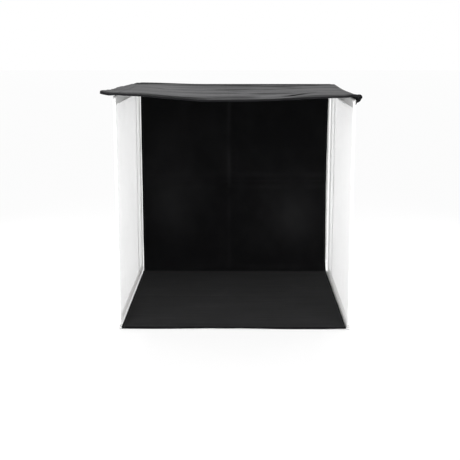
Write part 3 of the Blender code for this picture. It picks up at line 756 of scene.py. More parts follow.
def panel_seam(wall):
    """A felled seam that joins the wall's cloth from two widths, near its rear edge."""
    middle = wall.far - PANEL_SEAM_FROM_REAR
    low, high = wall.base + wall.hem, wall.top - wall.top_hem
    half = PANEL_SEAM_WIDTH / 2

    def place(u, v):
        across, up = middle + PANEL_SEAM_WIDTH * (u - 0.5), low + (high - low) * v
        lift = PANEL_SEAM_RISE * (1 - (2 * u - 1) ** 6)
        lift = lift + PANEL_SEAM_PUCKER * ripple(across, up, *PANEL_SEAM_PUCKERS, wall.seed)
        return spot(wall, across, up, cloth_out(wall, across, up) - lift), np.stack([up, across], 1)

    piece = lattice(f"{wall.name}_panel_seam", 8, PANEL_SEAM_ROWS, place, DIFFUSER_NYLON)
    thicken(piece, DIFFUSER_CLOTH)
    carry(wall.body, "diffuser_nylon", piece)
    ups = np.linspace(low, high, PANEL_SEAM_ROWS)
    lines = []
    for shift in (-half + STITCH_INSET, half - STITCH_INSET):
        across = np.full_like(ups, middle + shift)
        lines.append(spot(wall, across, ups, cloth_out(wall, across, ups) - PANEL_STITCH_OUT))
    carry(wall.body, "white_nylon", stitches(f"{wall.name}_panel_seam_stitches", lines, WHITE_THREAD))


LEFT = frame_wall("left", "front", "rear", -1, 3.0)
RIGHT = frame_wall("right", "front", "rear", 1, 23.0)
BACK = frame_wall("back", "left", "right", 0, 43.0)
for tent_wall, panel_node, panel_material, panel_slot in (
        (LEFT, "diffuser", DIFFUSER_NYLON, "diffuser_nylon"),
        (RIGHT, "diffuser", DIFFUSER_NYLON, "diffuser_nylon"),
        (BACK, "panel", WHITE_NYLON, "white_nylon")):
    hem_parts = wall_hem(tent_wall)
    wall_cloth(tent_wall, panel_node, panel_material, panel_slot)
panel_seam(LEFT)
panel_seam(RIGHT)


# Tapes of the walls: the waves of a fastener tape and the puckers of a hinge strip, with their ripples

TAPE_WAVE, BACKDROP_TAPE_WAVE, TAPE_WAVES = 0.1 * MM, 0.08 * MM, (30 * MM, 12 * MM)
HINGE_PUCKER, HINGE_PUCKERS = 0.12 * MM, (14 * MM, 9 * MM)
# How deep a hinge strip's foot is pressed into the floor panel, and the heights of its turn above that
HINGE_SUNK, TURN_LOW, TURN_HIGH = 0.05 * MM, 0.15 * MM, 0.6 * MM


def wall_fastener(wall, out_side, seed):
    """Hook tape along the top of a wall. out_side is 1 on its outer face and -1 on its inner one."""
    node = f"{wall.name}_hook_tape"
    low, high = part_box(node)
    start, end = (low.y, high.y) if wall.side else (low.x, high.x)
    head = high.z

    def place(across, along, lift):
        deep = wall.top - head + TAPE_EDGE + across
        rest = hem_face(wall, deep, wall.top_hem) + TAPE_GAP
        wave = TAPE_WAVE * ripple(along, across, *TAPE_WAVES, seed)
        return spot(wall, start + along, head - TAPE_EDGE - across,
                    out_side * (rest + TAPE_BASE / 2 + lift) + out_side * wave)

    fastener_tape(node, wall.body, place, (high.z - low.z - TAPE_EDGE, end - start), HOOKS, seed)


def hinge_tape(wall):
    """A wall's cloth hinge: a foot sewn on the floor panel, a turn, and a strip up the inner face."""
    node = f"{wall.name}_hinge_tape"
    low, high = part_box(node)
    start, end = wall.near + HINGE_END, wall.far - HINGE_END
    face = wall.half + TAPE_GAP
    foot = low.z - HINGE_SUNK
    ups = np.linspace(0, HINGE_HOLD, 9)
    climb = np.where(ups < wall.half, face, hem_face(wall, ups, wall.hem) + TAPE_GAP + HINGE_CLOTH)
    profile = np.array([(0.6 * wall.half, foot), (-0.8 * face, foot), (-0.95 * face, foot + TURN_LOW),
                        (-face, foot + TURN_HIGH), *zip(-climb, wall.base + ups)])
    length = run_along(profile)[-1]

    def place(u, v):
        out, up = at_share(profile, u)
        across = start + (end - start) * v
        out = out - HINGE_PUCKER * bumps(across, up, *HINGE_PUCKERS, wall.seed + 7)
        return spot(wall, across, up, out), np.stack([across, length * u], 1)

    strip = lattice(f"{wall.name}_hinge_cloth", 26, round((end - start) / CLOTH_STEP), place, DIFFUSER_NYLON)
    thicken(strip, HINGE_CLOTH)
    ways = np.linspace(start + STITCH_PITCH, end - STITCH_PITCH, SEAM_POINTS)
    out, up = at_share(profile, np.full_like(ways, (length - STITCH_INSET) / length))
    sewn = stitches(f"{wall.name}_hinge_stitches", [spot(wall, ways, up, out - HINGE_CLOTH)], WHITE_THREAD)
    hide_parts(node)
    for part in (strip, sewn):
        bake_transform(part)


wall_fastener(LEFT, 1, 31)
wall_fastener(RIGHT, 1, 32)
wall_fastener(BACK, -1, 33)
for hinged_wall in (LEFT, RIGHT, BACK):
    hinge_tape(hinged_wall)


def backdrop_tape():
    """The loop tape on the back of the backdrop's top edge, its loops caught in the wall's hooks."""
    low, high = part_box("backdrop_loop_tape")

    def place(across, along, lift):
        wave = BACKDROP_TAPE_WAVE * ripple(along, across, *TAPE_WAVES, 34.0)
        return np.stack([low.x + along, low.y + TAPE_BASE / 2 + lift + wave, high.z - across], -1)

    fastener_tape("backdrop_loop_tape", "back_wall", place, (high.z - low.z, high.x - low.x), LOOPS, 34)


backdrop_tape()


# Floor panel

SLAB_NOSE_STEPS, SLAB_FLAT_STEPS, SLAB_END_STEPS, SLAB_ROWS = 7, 61, 5, 100
SLEEVE_SAG, SLEEVE_SAGS, SLEEVE_RIM = 0.28 * MM, (26 * MM, 34 * MM, 81.0), 4 * MM
SLEEVE_SEAM = 2.4 * MM
BINDING_WAVE, BINDING_WAVES = 0.06 * MM, (9 * MM, 1, 83.0)
BINDING_EASE_DEEP, BINDING_EASE_TALL, BINDING_STITCH = 0.1 * MM, 0.02 * MM, 0.12 * MM


def slab(name, half_width, span, thickness, sunk, material):
    """A thin cloth case with round edges: a flattened tube along y whose two ends close softly.

    sunk(x, y) is how far its upper face is sunk in.
    """
    half = thickness / 2
    turns = np.linspace(-math.pi / 2, math.pi / 2, SLAB_NOSE_STEPS)
    flat = np.linspace(-1, 1, SLAB_FLAT_STEPS)[1:-1] * (half_width - half)
    section = [(half_width - half + half * math.cos(turn), half * math.sin(turn)) for turn in turns]
    section += [(x, half) for x in flat[::-1]]
    section += [(-half_width + half - half * math.cos(turn), -half * math.sin(turn)) for turn in turns]
    section += [(x, -half) for x in flat]
    section = np.array(section + section[:1])
    ends = half * (1 - np.cos(np.linspace(0, math.pi / 2, SLAB_END_STEPS)))
    rows = np.concatenate([span[0] + ends, np.linspace(span[0] + half, span[1] - half, SLAB_ROWS)[1:-1],
                           span[1] - ends[::-1]])

    def place(u, v):
        spot_at = np.rint(u * (len(section) - 1)).astype(int)
        row = rows[np.rint(v * (len(rows) - 1)).astype(int)]
        inside = np.minimum(row - span[0], span[1] - row)
        rim = np.sqrt(np.clip(1 - (1 - np.clip(inside / half, 0, 1)) ** 2, 0, 1))
        x, up = section[spot_at, 0], section[spot_at, 1]
        z = half + rim * up - np.where(up > 0, sunk(x, row), 0) * rim
        return np.stack([x, row, z], 1), np.stack([x + np.where(up > 0, 0, 1), row], 1)

    return lattice(name, len(section) - 1, len(rows) - 1, place, material, joins=True)


def floor_panel():
    """The floor's nylon sleeve, drawn in a little over its board, and the tape that binds its front."""
    low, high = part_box("floor_sleeve")

    def sunk(x, y):
        return SLEEVE_SAG * bumps(x, y, *SLEEVE_SAGS) * smooth((high.x - np.abs(x)) / SLEEVE_RIM)

    sleeve = slab("floor_panel_sleeve", high.x, (low.y, high.y), high.z, sunk, WHITE_NYLON)
    thicken(sleeve, HEM_WALL, -1)
    side, front, back = high.x - SLEEVE_SEAM, low.y + SLEEVE_SEAM, high.y - SLEEVE_SEAM
    corners = np.array([(-side, front), (-side, back), (side, back), (side, front)])
    shares = np.linspace(0, 1, SEAM_POINTS)[:, None]
    lines = [np.column_stack([start * (1 - shares) + end * shares, np.full(SEAM_POINTS, high.z)])
             for start, end in zip(corners, corners[1:])]
    sewn = stitches("floor_sleeve_stitches", lines, WHITE_THREAD)
    edge_low, edge_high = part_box("floor_front_binding")
    middle_y, middle_z = (edge_low.y + edge_high.y) / 2, (edge_low.z + edge_high.z) / 2
    deep, tall = (edge_high.y - edge_low.y) / 2, (edge_high.z - edge_low.z) / 2

    def bound(u, v):
        turn = 2 * math.pi * u
        x = edge_low.x + (edge_high.x - edge_low.x) * v
        close = np.clip(np.minimum(x - edge_low.x, edge_high.x - x) / tall, 0, 1)
        rim = np.sqrt(np.clip(1 - (1 - close) ** 2, 0, 1))
        squared = (np.abs(np.cos(turn)) ** 4 + np.abs(np.sin(turn)) ** 4) ** -0.25
        wave = BINDING_WAVE * ripple(x, 0 * x, *BINDING_WAVES)
        y = middle_y + (deep - BINDING_EASE_DEEP) * rim * squared * np.cos(turn) + wave
        z = middle_z + (tall - BINDING_EASE_TALL) * rim * squared * np.sin(turn)
        return np.stack([x, y, z], 1), np.stack([x, 2 * tall * u], 1)

    binding = lattice("floor_front_binding_tape", 20, 260, bound, WHITE_TAPE, joins=True)
    ways = np.linspace(edge_low.x + STITCH_PITCH, edge_high.x - STITCH_PITCH, SEAM_POINTS)
    row = np.column_stack([ways, np.full_like(ways, edge_low.y + BINDING_STITCH),
                           np.full_like(ways, middle_z + 0.3 * tall)])
    carry("floor", "white_nylon", sleeve, sewn)
    carry("floor", "white_tape", binding, stitches("floor_binding_stitches", [row], WHITE_THREAD))
    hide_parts("floor_sleeve")
    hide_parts("floor_front_binding")


floor_panel()


# Backdrop

BACKDROP_LEFT = -0.2434
BACKDROP_RIGHT = 0.2400
BACKDROP_FRONT_RIGHT = 0.2415
BACKDROP_WAIST = 4 * MM
BACKDROP_CLOTH = 0.8 * MM
BACKDROP_TURN = 2.2 * MM
BACKDROP_DROP = 2 * MM
COVE = 6 * MM
CAD_BACKDROP = 1.2 * MM
HANG_ROWS, LAY_ROWS, TURN_ROWS = 121, 126, 9
EDGE_SEAM = 5 * MM
SIDE_WANDER, SIDE_WANDERS = 0.5 * MM, (60 * MM, 1, 91.0)
EDGE_WAVES = (45 * MM, 1, 65.0)
# Storage folds: where the one down the cloth and those across it lie, and how sharp and broad they are
FOLD_DOWN, FOLDS_ACROSS = 0.465, (1 / 4, 1 / 2, 3 / 4)
FOLD_SHARP, FOLD_BROAD = 2.2 * MM, 12 * MM
DOWN_WANDER, DOWN_WANDERS = 1.5 * MM, (90 * MM, 1, 77.0)
ACROSS_WANDER, ACROSS_WANDERS, ACROSS_SEED = 1.2 * MM, (110 * MM, 1), 71.0
# The folded walls' hems lie on the cloth's rim, which stays flat for them and then fades to full relief
RIM_FLAT, RIM_FADE = 6 * MM, 24 * MM
# Relief of its hung part in millimetres, and the ripples in it: width, length, seed
BELLY, HANG_FOLD, TOP_GATHER, HANG_CREASE = 2.1, 1.3, 0.9, 2.5
HANG_FOLDS, TOP_GATHERS = (60 * MM, 330 * MM, 61.0), (24 * MM, 80 * MM, 62.0)
GATHER_REACH, TAPE_HOLD, EDGE_HOLD = 45 * MM, 22 * MM, 45 * MM
# The same for its laid part
LAY_CREASE, LAY_WAVE, LAY_LINE, FRONT_RUMPLE = 0.5, 0.9, 0.5, 0.45
LAY_WAVES, LAY_LINES = (80 * MM, 55 * MM, 63.0), (160 * MM, 9 * MM, 66.0)
FRONT_RUMPLES, RUMPLE_REACH = (40 * MM, 12 * MM, 64.0), 22 * MM
# Painted highlights along the storage folds, where the creases catch the light: how pale on the fold down the
# cloth and on and beside those across it, and how wide that is
HIGHLIGHT_DOWN, HIGHLIGHT_ON, HIGHLIGHT_BESIDE = (0.17, 5 * MM), (0.07, 3 * MM), (0.09, 8 * MM)
BESIDE_FOLD = 15 * MM
# The painted highlight of the fold down the cloth is weaker below the upper fold, and those across it are
# weaker on the left
BELOW_FADE, LEFT_FROM, LEFT_FADE = 30 * MM, 20 * MM, 60 * MM
# How unevenly strong its painted fold highlights are, and its soft clouds of paler nap: how pale, and their
# width, length and seed
UNEVEN_HIGHLIGHT = (60 * MM, 60 * MM, 70.0)
NAP_CLOUDS = ((0.05, 60 * MM, 90 * MM, 67.0), (0.03, 25 * MM, 30 * MM, 68.0))
NAP_STREAK, NAP_STREAKS = 0.05, (90 * MM, 5 * MM, 69.0)
# Pale patches on the nap, the strongest at the lower right a painted pool of lamp light: across, down along
# the cloth, half width, half height, how much
PALE_AND_LAMP_LIT_PATCHES = ((0.160, 0.340, 0.080, 0.075, 0.20), (-0.170, 0.290, 0.070, 0.110, 0.14),
               (0.060, 0.200, 0.120, 0.060, 0.03), (-0.100, 0.110, 0.100, 0.060, 0.04))


def crease_profile(distance, sharp, broad):
    """A storage crease: a sharp soft-edged line in the middle of a broad rise."""
    return 0.45 * np.exp(-np.sqrt((distance / sharp) ** 2 + 0.15)) + 0.55 * ridge(distance, broad)


def backdrop():
    """The one black cloth: hung at the back, turned in a small cove and laid to the floor's front edge."""
    low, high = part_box("backdrop")
    wall_y, floor_z = high.y - CAD_BACKDROP / 2, low.z + CAD_BACKDROP / 2
    top, front = high.z, low.y
    hang = top - floor_z - COVE
    cove = COVE * math.pi / 2
    lay = wall_y - COVE - front
    length = hang + cove + lay + BACKDROP_TURN + BACKDROP_DROP
    crease_x = low.x + (high.x - low.x) * FOLD_DOWN
    laid = hang + cove + lay
    runs = np.concatenate([
        np.linspace(0, hang, HANG_ROWS), hang + cove * np.linspace(0, 1, TURN_ROWS)[1:-1],
        np.linspace(hang + cove, laid, LAY_ROWS), np.linspace(laid, length, TURN_ROWS)[1:]])

    def run_at(share):
        return np.interp(share * (len(runs) - 1), np.arange(len(runs)), runs)

    def fold_lines(x, run):
        """How far places lie from the storage fold down the cloth, and from the three across it."""
        down = x - crease_x - DOWN_WANDER * ripple(run, x, *DOWN_WANDERS)
        return down, [run - length * share
                      - ACROSS_WANDER * ripple(x, run * 0, *ACROSS_WANDERS, ACROSS_SEED + share)
                      for share in FOLDS_ACROSS]

    def place(u, v):
        run = run_at(v)
        right = BACKDROP_RIGHT + (BACKDROP_FRONT_RIGHT - BACKDROP_RIGHT) * smooth((run - hang) / lay)
        right = right - BACKDROP_WAIST * np.sin(math.pi * np.clip(run / hang, 0, 1)) ** 0.5
        x = BACKDROP_LEFT + (right - BACKDROP_LEFT) * u
        wander = SIDE_WANDER * ripple(run, run * 0, *SIDE_WANDERS)
        x = x + wander * (2 * u - 1) * (np.abs(2 * u - 1) > 0.9)
        edge = np.minimum(u, 1 - u) * (BACKDROP_RIGHT - BACKDROP_LEFT)
        down, across = fold_lines(x, run)
        crease = sum(crease_profile(line, FOLD_SHARP, FOLD_BROAD) for line in (down, *across))
        hung = run < hang
        turning = (run >= hang) & (run < hang + cove)
        angle = np.clip((run - hang) / COVE, 0, math.pi / 2)
        reach = np.clip(run - hang - cove, 0, None)
        free = np.sin(math.pi * np.clip(run / hang, 0, 1))
        swell = BELLY * free * np.sin(math.pi * u) ** 2 * (0.6 + 0.4 * np.cos(2 * math.pi * u))
        swell = swell + HANG_FOLD * free ** 0.5 * bumps(x, run, *HANG_FOLDS)
        swell = swell + TOP_GATHER * ridge(run, GATHER_REACH) * bumps(x, run, *TOP_GATHERS)
        swell = swell + HANG_CREASE * crease * free ** 0.5 * smooth(edge / EDGE_HOLD)
        swell = swell * MM * smooth(run / TAPE_HOLD)
        lift = LAY_CREASE * crease + LAY_WAVE * bumps(x, run, *LAY_WAVES)
        lift = lift + LAY_LINE * np.abs(ripple(x, run, *LAY_LINES))
        lift = lift + FRONT_RUMPLE * ridge(length - run, RUMPLE_REACH) * bumps(x, run, *FRONT_RUMPLES)
        rim = np.minimum(np.minimum(edge, lay - reach), reach)
        lift = lift * MM * smooth((rim - RIM_FLAT) / RIM_FADE)
        wave = (0.9 * np.sin(3 * math.pi * u + 0.4) + 0.4 * ripple(x, run * 0, *EDGE_WAVES)) * MM
        over = np.clip(reach - lay, 0, BACKDROP_TURN) / BACKDROP_TURN * math.pi / 2
        radius = BACKDROP_TURN * 2 / math.pi
        beyond = np.clip(reach - lay - BACKDROP_TURN, 0, None) * (1 + wave / BACKDROP_DROP)
        ahead = np.clip(reach, 0, lay) + radius * np.sin(over)
        fall = radius * (1 - np.cos(over)) + beyond
        y = np.where(hung, wall_y - swell, np.where(
            turning, wall_y - COVE + COVE * np.cos(angle), wall_y - COVE - ahead))
        z = np.where(hung, top - run, np.where(
            turning, floor_z + COVE - COVE * np.sin(angle), floor_z + lift - fall))
        return np.stack([x, y, z], 1), np.stack([x, run], 1)

    def nap(x, run):
        """Painted highlights along the storage folds, broad pale patches with a painted pool of lamp light at
        the lower right, and soft paler clouds and streaks.
        """
        down, across = fold_lines(x, run)
        highlight_strength = 0.55 + 0.9 * ripple(x, run, *UNEVEN_HIGHLIGHT)
        upper = 1 - 0.6 * smooth((run - length / 4) / BELOW_FADE)
        side = 0.3 + 0.7 * smooth((x + LEFT_FROM) / LEFT_FADE)
        # Painted highlights along the folds, where the creases catch the light, weaker on the laid part
        line = HIGHLIGHT_DOWN[0] * highlight_strength * upper * ridge(down, HIGHLIGHT_DOWN[1])
        for off in across:
            pale = HIGHLIGHT_ON[0] * ridge(off, HIGHLIGHT_ON[1])
            pale = pale + HIGHLIGHT_BESIDE[0] * ridge(np.abs(off) - BESIDE_FOLD, HIGHLIGHT_BESIDE[1])
            line = line + highlight_strength * side * pale
        line = line * np.where(run < hang, 1, 0.3)
        # Pale patches, the strongest at the lower right a painted pool of lamp light
        patches = sum(pale * ridge(x - middle, wide) * ridge(run - height, tall)
                      for middle, height, wide, tall, pale in PALE_AND_LAMP_LIT_PATCHES)
        cloudy = sum(pale * ripple(x, run, *size) for pale, *size in NAP_CLOUDS)
        streaks = NAP_STREAK * ripple(x, run, *NAP_STREAKS) * smooth((run - hang) / lay)
        return np.clip(line + patches + cloudy + streaks, 0, 1)

    piece = lattice("backdrop_cloth", 124, len(runs) - 1, place, BLACK_CLOTH, nap=nap)
    thicken(piece, BACKDROP_CLOTH)
    flat_width = BACKDROP_RIGHT - BACKDROP_LEFT
    sides = (EDGE_SEAM / flat_width, 1 - EDGE_SEAM / flat_width)
    shares = np.linspace(0, 1, 500)
    turn = np.clip((run_at(shares) - hang) / cove, 0, 1) * math.pi / 2
    face = np.stack([0 * turn, -np.cos(turn), np.sin(turn)], 1) * BACKDROP_CLOTH / 2
    lines = [place(np.full_like(shares, side), shares)[0] + face for side in sides]
    rim = np.linspace(*sides, 300)
    end = np.interp(laid - EDGE_SEAM, runs, np.arange(len(runs))) / (len(runs) - 1)
    lines.append(place(rim, np.full_like(rim, end))[0] + np.array([0, 0, BACKDROP_CLOTH / 2]))
    sewn = stitches("backdrop_edge_stitches", lines, BLACK_THREAD)
    for part in (piece, sewn):
        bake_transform(part)
    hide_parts("backdrop")


backdrop()


# Cover

COVER_CLOTH = 0.9 * MM
COVER_SAG = 1 * MM
COVER_RISE_RUN, COVER_HOLD = 170 * MM, 25 * MM
COVER_LEFT_LIFT, COVER_RIGHT_LIFT = 6.5 * MM, 6 * MM
COVER_LEFT_CORNER, COVER_RIGHT_CORNER = 1.2 * MM, 2.4 * MM
FLAP_REACH = 27 * MM
FLAP_FLAT = 9.0 * MM
FLAP_HANG = math.radians(85)
FLAP_SEAMS = (-3 * MM, 1 * MM, FLAP_FLAT + 6.5 * MM, FLAP_FLAT + 23.5 * MM)
FLAP_TAPE_WIDTH, FLAP_TAPE_INSET, FLAP_TAPE_END, FLAP_TAPE_DROP = 20 * MM, 5 * MM, 28 * MM, 1.2 * MM
LEFT_FLAP_TILT, RIGHT_FLAP_TILT, FLAP_TILT_SHARE = math.radians(-11), math.radians(-14), 0.4
LEFT_FLAP_BEND, RIGHT_FLAP_BEND = 8 * MM, 3 * MM
# The left flap's crease leaves its edge at the first share of the depth and meets the fold at the second
LEFT_CREASE_SHARES = (0.6, 0.97)
RIGHT_HANG, RIGHT_PLUMB = math.radians(107), (8 * MM, 4 * MM, math.radians(17))
# A flap's front corner curls down: how far out and over what bend, how far back, and how much
LEFT_CURL = (22 * MM, 3 * MM, 24 * MM, math.radians(80))
RIGHT_CURL = (4.5 * MM, 18 * MM, 20 * MM, math.radians(194))
# The right flap's front corner is cut back: by what share of its reach, and over what length
RIGHT_CUT = (0.36, 85 * MM)
BEND_PARTS = 24
HEM_ROLL = math.radians(255)
# Broad smile folds: where along the depth, where across, half length, rise of the ends, depth
COVER_FOLDS = ((0.14, 0.15, 0.80, 0.10, 1.0), (0.33, 0.45, 0.45, 0.12, 0.9),
               (0.58, -0.35, 0.55, 0.08, 0.7), (0.80, 0.25, 0.60, 0.06, 0.4))
DEEPEST_CREASE = 5 * MM
# Sharp creases from end to end: x, y, x, y, then how far they bow to the front and how deep they are
COVER_CREASES = ((0.050, -0.205, 0.172, -0.105, 0.012, DEEPEST_CREASE),
                 (-0.205, 0.060, -0.060, 0.020, 0.014, 4 * MM),
                 (-0.190, -0.120, 0.020, -0.165, 0.020, 1.6 * MM),
                 (0.020, 0.075, 0.190, 0.110, 0.012, 1.6 * MM))
COVER_FOLD, COVER_FOLD_WIDTH, CREASE_WIDTH = 4.5 * MM, 20 * MM, 3.5 * MM
CORNER_ACROSS, CORNER_ALONG = 18 * MM, 70 * MM
# Ripples in it: width, length, seed, and how far they bow to the back at the sides
SMALL_FOLD, SMALL_FOLDS, SMALL_BOW = 1.5 * MM, (150 * MM, 21 * MM, 51.0), 0.35
MIDDLE_FOLD, MIDDLE_FOLDS, MIDDLE_BOW = 3 * MM, (220 * MM, 45 * MM, 55.0), 0.3
WRINKLE, WRINKLES = 0.25 * MM, (14 * MM, 5 * MM, 52.0)
FLAP_BUCKLE, FLAP_BUCKLES, BUCKLE_FROM = 1.1 * MM, (60 * MM, 22 * MM, 53.0), 8 * MM
# Painted shade at its back and front edges: how much of its painted sheen stays there, and over what share of
# the depth that is
SHADED_BACK_EDGE, SHADED_FRONT_EDGE = (0.05, 0.26), (0.1, 0.16)
# Streaks of painted highlight and painted shade along its folds: how strong, and their ripples. A crease gets
# painted shade, with painted highlights beside it
SHEEN_STREAK, SHEEN_STREAKS = 0.45, (260 * MM, 44 * MM, 56.0)
FINE_SHEEN_STREAK, FINE_SHEEN_STREAKS = 0.12, (90 * MM, 18 * MM, 57.0)
CREASE_SHADE, CREASE_SHADE_WIDTH = 0.5, 12 * MM
CREASE_HIGHLIGHT, CREASE_HIGHLIGHT_WIDTH, CREASE_HIGHLIGHT_FROM = 0.34, 24 * MM, 44 * MM
# Grid of one half, and its front hem: steps round its roll, its height and how much higher it is at the sides
HALF_COLUMNS, HALF_ROWS, ROLL_STEPS = 95, 190, 16
HEM_EASE_DEEP, HEM_HALF_HEIGHT, HEM_SIDE_RISE = 0.3 * MM, 1.6 * MM, 0.5 * MM
HEM_PUFF, HEM_PUFFS = 0.25 * MM, (25 * MM, 1, 54.0)
# How far the hem's seam lies from the front edge, and the flap's seams from the front and back edges
FRONT_SEAM, SEAMS_FROM_FRONT, SEAMS_FROM_BACK = 1.2 * MM, 3 * MM, 2 * MM
# The strip at its back: how far it laps the cover, how its turn is cut, and how far short its bend ends
HINGE_LAP, TURN_DROP, TURN_IN, BEND_SHORT = 6 * MM, 0.5 * MM, 0.2 * MM, 0.2 * MM
COVER_LOW, COVER_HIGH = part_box("cover_panel")
COVER_HALF = COVER_HIGH.x
COVER_FRONT, COVER_BACK = COVER_LOW.y, COVER_HIGH.y
COVER_LEVEL = BACK.top + 1.4 * MM
HEM_FRONT, HEM_BACK = [corner.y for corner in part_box("cover_front_hem")]


def crease_lines(x, y):
    """For each sharp crease: the share of the way along it, the distance from it, and its depth."""
    for x0, y0, x1, y1, bow, deep in COVER_CREASES:
        share = (x - x0) / (x1 - x0)
        yield share, y - (y0 + (y1 - y0) * share) + bow * np.sin(math.pi * np.clip(share, 0, 1)), deep


def cover_relief(x, y):
    """How far the cover's middle lies below its level: its sag, folds, creases and small unevenness."""
    depth = COVER_BACK - COVER_FRONT
    share = np.clip((COVER_BACK - y) / depth, 0, 1)
    loose = np.cos(math.pi * x / COVER_HALF / 2) * smooth((COVER_BACK - y) / COVER_HOLD)
    sag = COVER_SAG * np.sin(share * math.pi / 2) ** 2 * (1 + np.cos(math.pi * x / COVER_HALF)) / 2
    fold = 0
    for y_share, x_share, half_share, rise_share, depth_share in COVER_FOLDS:
        away = (x / COVER_HALF - x_share) / half_share
        line = y - COVER_FRONT - depth * (y_share + rise_share * away ** 2)
        fold = fold + depth_share * ridge(line, COVER_FOLD_WIDTH) * np.exp(-away ** 4)
    crease = 0
    for along, line, deep in crease_lines(x, y):
        sharp = np.exp(-np.sqrt((line / CREASE_WIDTH) ** 2 + 0.1))
        crease = crease + deep * sharp * smooth(4 * along) * smooth(4 * (1 - along))
    small = SMALL_FOLD * np.abs(ripple(x, y + SMALL_BOW * x * x / COVER_HALF, *SMALL_FOLDS))
    small = small + MIDDLE_FOLD * np.abs(ripple(x, y + MIDDLE_BOW * x * x / COVER_HALF, *MIDDLE_FOLDS))
    small = small + WRINKLE * ripple(x, y, *WRINKLES)
    lift = np.where(x < 0, COVER_LEFT_LIFT, COVER_RIGHT_LIFT)
    lift = lift * smooth(1.25 * np.abs(x) / COVER_HALF - 0.15) * smooth(1.5 * share - 0.5)
    corner = np.where(x < 0, COVER_LEFT_CORNER, COVER_RIGHT_CORNER)
    corner = corner * smooth((np.abs(x) - COVER_HALF) / CORNER_ACROSS + 1)
    lift = lift + corner * smooth(1 - (1 - share) * depth / CORNER_ALONG)
    inset = np.clip((x + COVER_HALF) / COVER_RISE_RUN, 0, 1)
    lift = lift + (LEFT.top - BACK.top) * (1 + np.cos(math.pi * inset)) / 2
    return sag + (COVER_FOLD * fold + crease + small) * loose - lift


def cover_painted_light(across, run):
    """The cover's painted light, as paler colour and more gloss: painted shade in its creases and at its
    edges, painted highlights in streaks and beside the creases.
    """
    x, y = np.clip(across, -COVER_HALF, COVER_HALF), COVER_BACK - run
    share = np.clip(run / (COVER_BACK - COVER_FRONT), 0, 1)
    tone = PAINTED_SHEEN
    # Painted shade at the back and front edges
    for (least, reach), inside in ((SHADED_BACK_EDGE, share), (SHADED_FRONT_EDGE, 1 - share)):
        tone = tone * (least + (1 - least) * smooth(inside / reach))
    # Streaks of painted highlight and painted shade along the folds
    streaks = SHEEN_STREAK * ripple(x, y + SMALL_BOW * x * x / COVER_HALF, *SHEEN_STREAKS)
    streaks = streaks + FINE_SHEEN_STREAK * ripple(x, y, *FINE_SHEEN_STREAKS)
    # Painted shade in each crease, painted highlights beside it
    for along, line, deep in crease_lines(x, y):
        ends = smooth(3 * along + 0.5) * smooth(3 * (1 - along) + 0.5) * deep / DEEPEST_CREASE
        pale = CREASE_HIGHLIGHT * ridge(np.abs(line) - CREASE_HIGHLIGHT_FROM, CREASE_HIGHLIGHT_WIDTH)
        streaks = streaks + ends * (pale - CREASE_SHADE * ridge(line, CREASE_SHADE_WIDTH))
    return np.clip(tone + streaks * smooth(share / 0.08) * smooth((1 - share) / 0.05), 0, 1)


def flap_run(side, y, reach):
    """Where a flap's cloth goes: out, down and its slope, after its fold and its front corner's curl."""
    share = (y - COVER_FRONT) / (COVER_BACK - COVER_FRONT)
    tilt = np.where(side < 0, LEFT_FLAP_TILT, RIGHT_FLAP_TILT) * (1 - smooth(share / FLAP_TILT_SHARE))
    leave, meet = LEFT_CREASE_SHARES
    crease = np.where(side < 0, FLAP_REACH * np.clip((meet - share) / (meet - leave), 0, 1), 0)
    fold = np.where(side < 0, LEFT_FLAP_BEND, RIGHT_FLAP_BEND)
    cut, cut_length = RIGHT_CUT
    reach = reach * (1 - np.where(side < 0, 0, cut) * (1 - smooth((y - COVER_FRONT) / cut_length)))
    first, bend, back, turn = [np.where(side < 0, left, right) for left, right in zip(LEFT_CURL, RIGHT_CURL)]
    curled = 1 - smooth((y - COVER_FRONT) / back)
    hang = np.where(side < 0, FLAP_HANG, RIGHT_HANG * (1 - curled))
    plumb_first, plumb_bend, plumb_turn = RIGHT_PLUMB
    plumb = np.where(side < 0, 0, plumb_turn * (1 - curled))

    def slope(way):
        return (tilt * smooth(way / fold) + hang * smooth((way - crease) / fold)
                + turn * curled * np.clip((way - first) / bend, 0, 1)
                - plumb * smooth((way - plumb_first) / plumb_bend))

    middles = [slope(reach * (part + 0.5) / BEND_PARTS) for part in range(BEND_PARTS)]
    out = reach / BEND_PARTS * sum(np.cos(middle) for middle in middles)
    down = reach / BEND_PARTS * sum(np.sin(middle) for middle in middles)
    return out, down, slope(reach)


def cover_point(across, y, rise):
    """A place on the cover: across from its middle over a flap's fold, y, and above its middle face."""
    side = np.sign(across)
    inside = np.clip(np.abs(across), 0, COVER_HALF)
    reach = np.clip(np.abs(across) - COVER_HALF - FLAP_FLAT, 0, None)
    out, down, slope = flap_run(side, y, reach)
    level = np.clip(np.abs(across), 0, COVER_HALF + FLAP_FLAT)
    buckle = FLAP_BUCKLE * smooth(reach / BUCKLE_FROM) * ripple(reach, y, *FLAP_BUCKLES)
    above = rise + buckle
    return np.stack([side * (level + out + above * np.sin(slope)), y,
                     COVER_LEVEL - cover_relief(side * inside, y) - down + above * np.cos(slope)], -1)


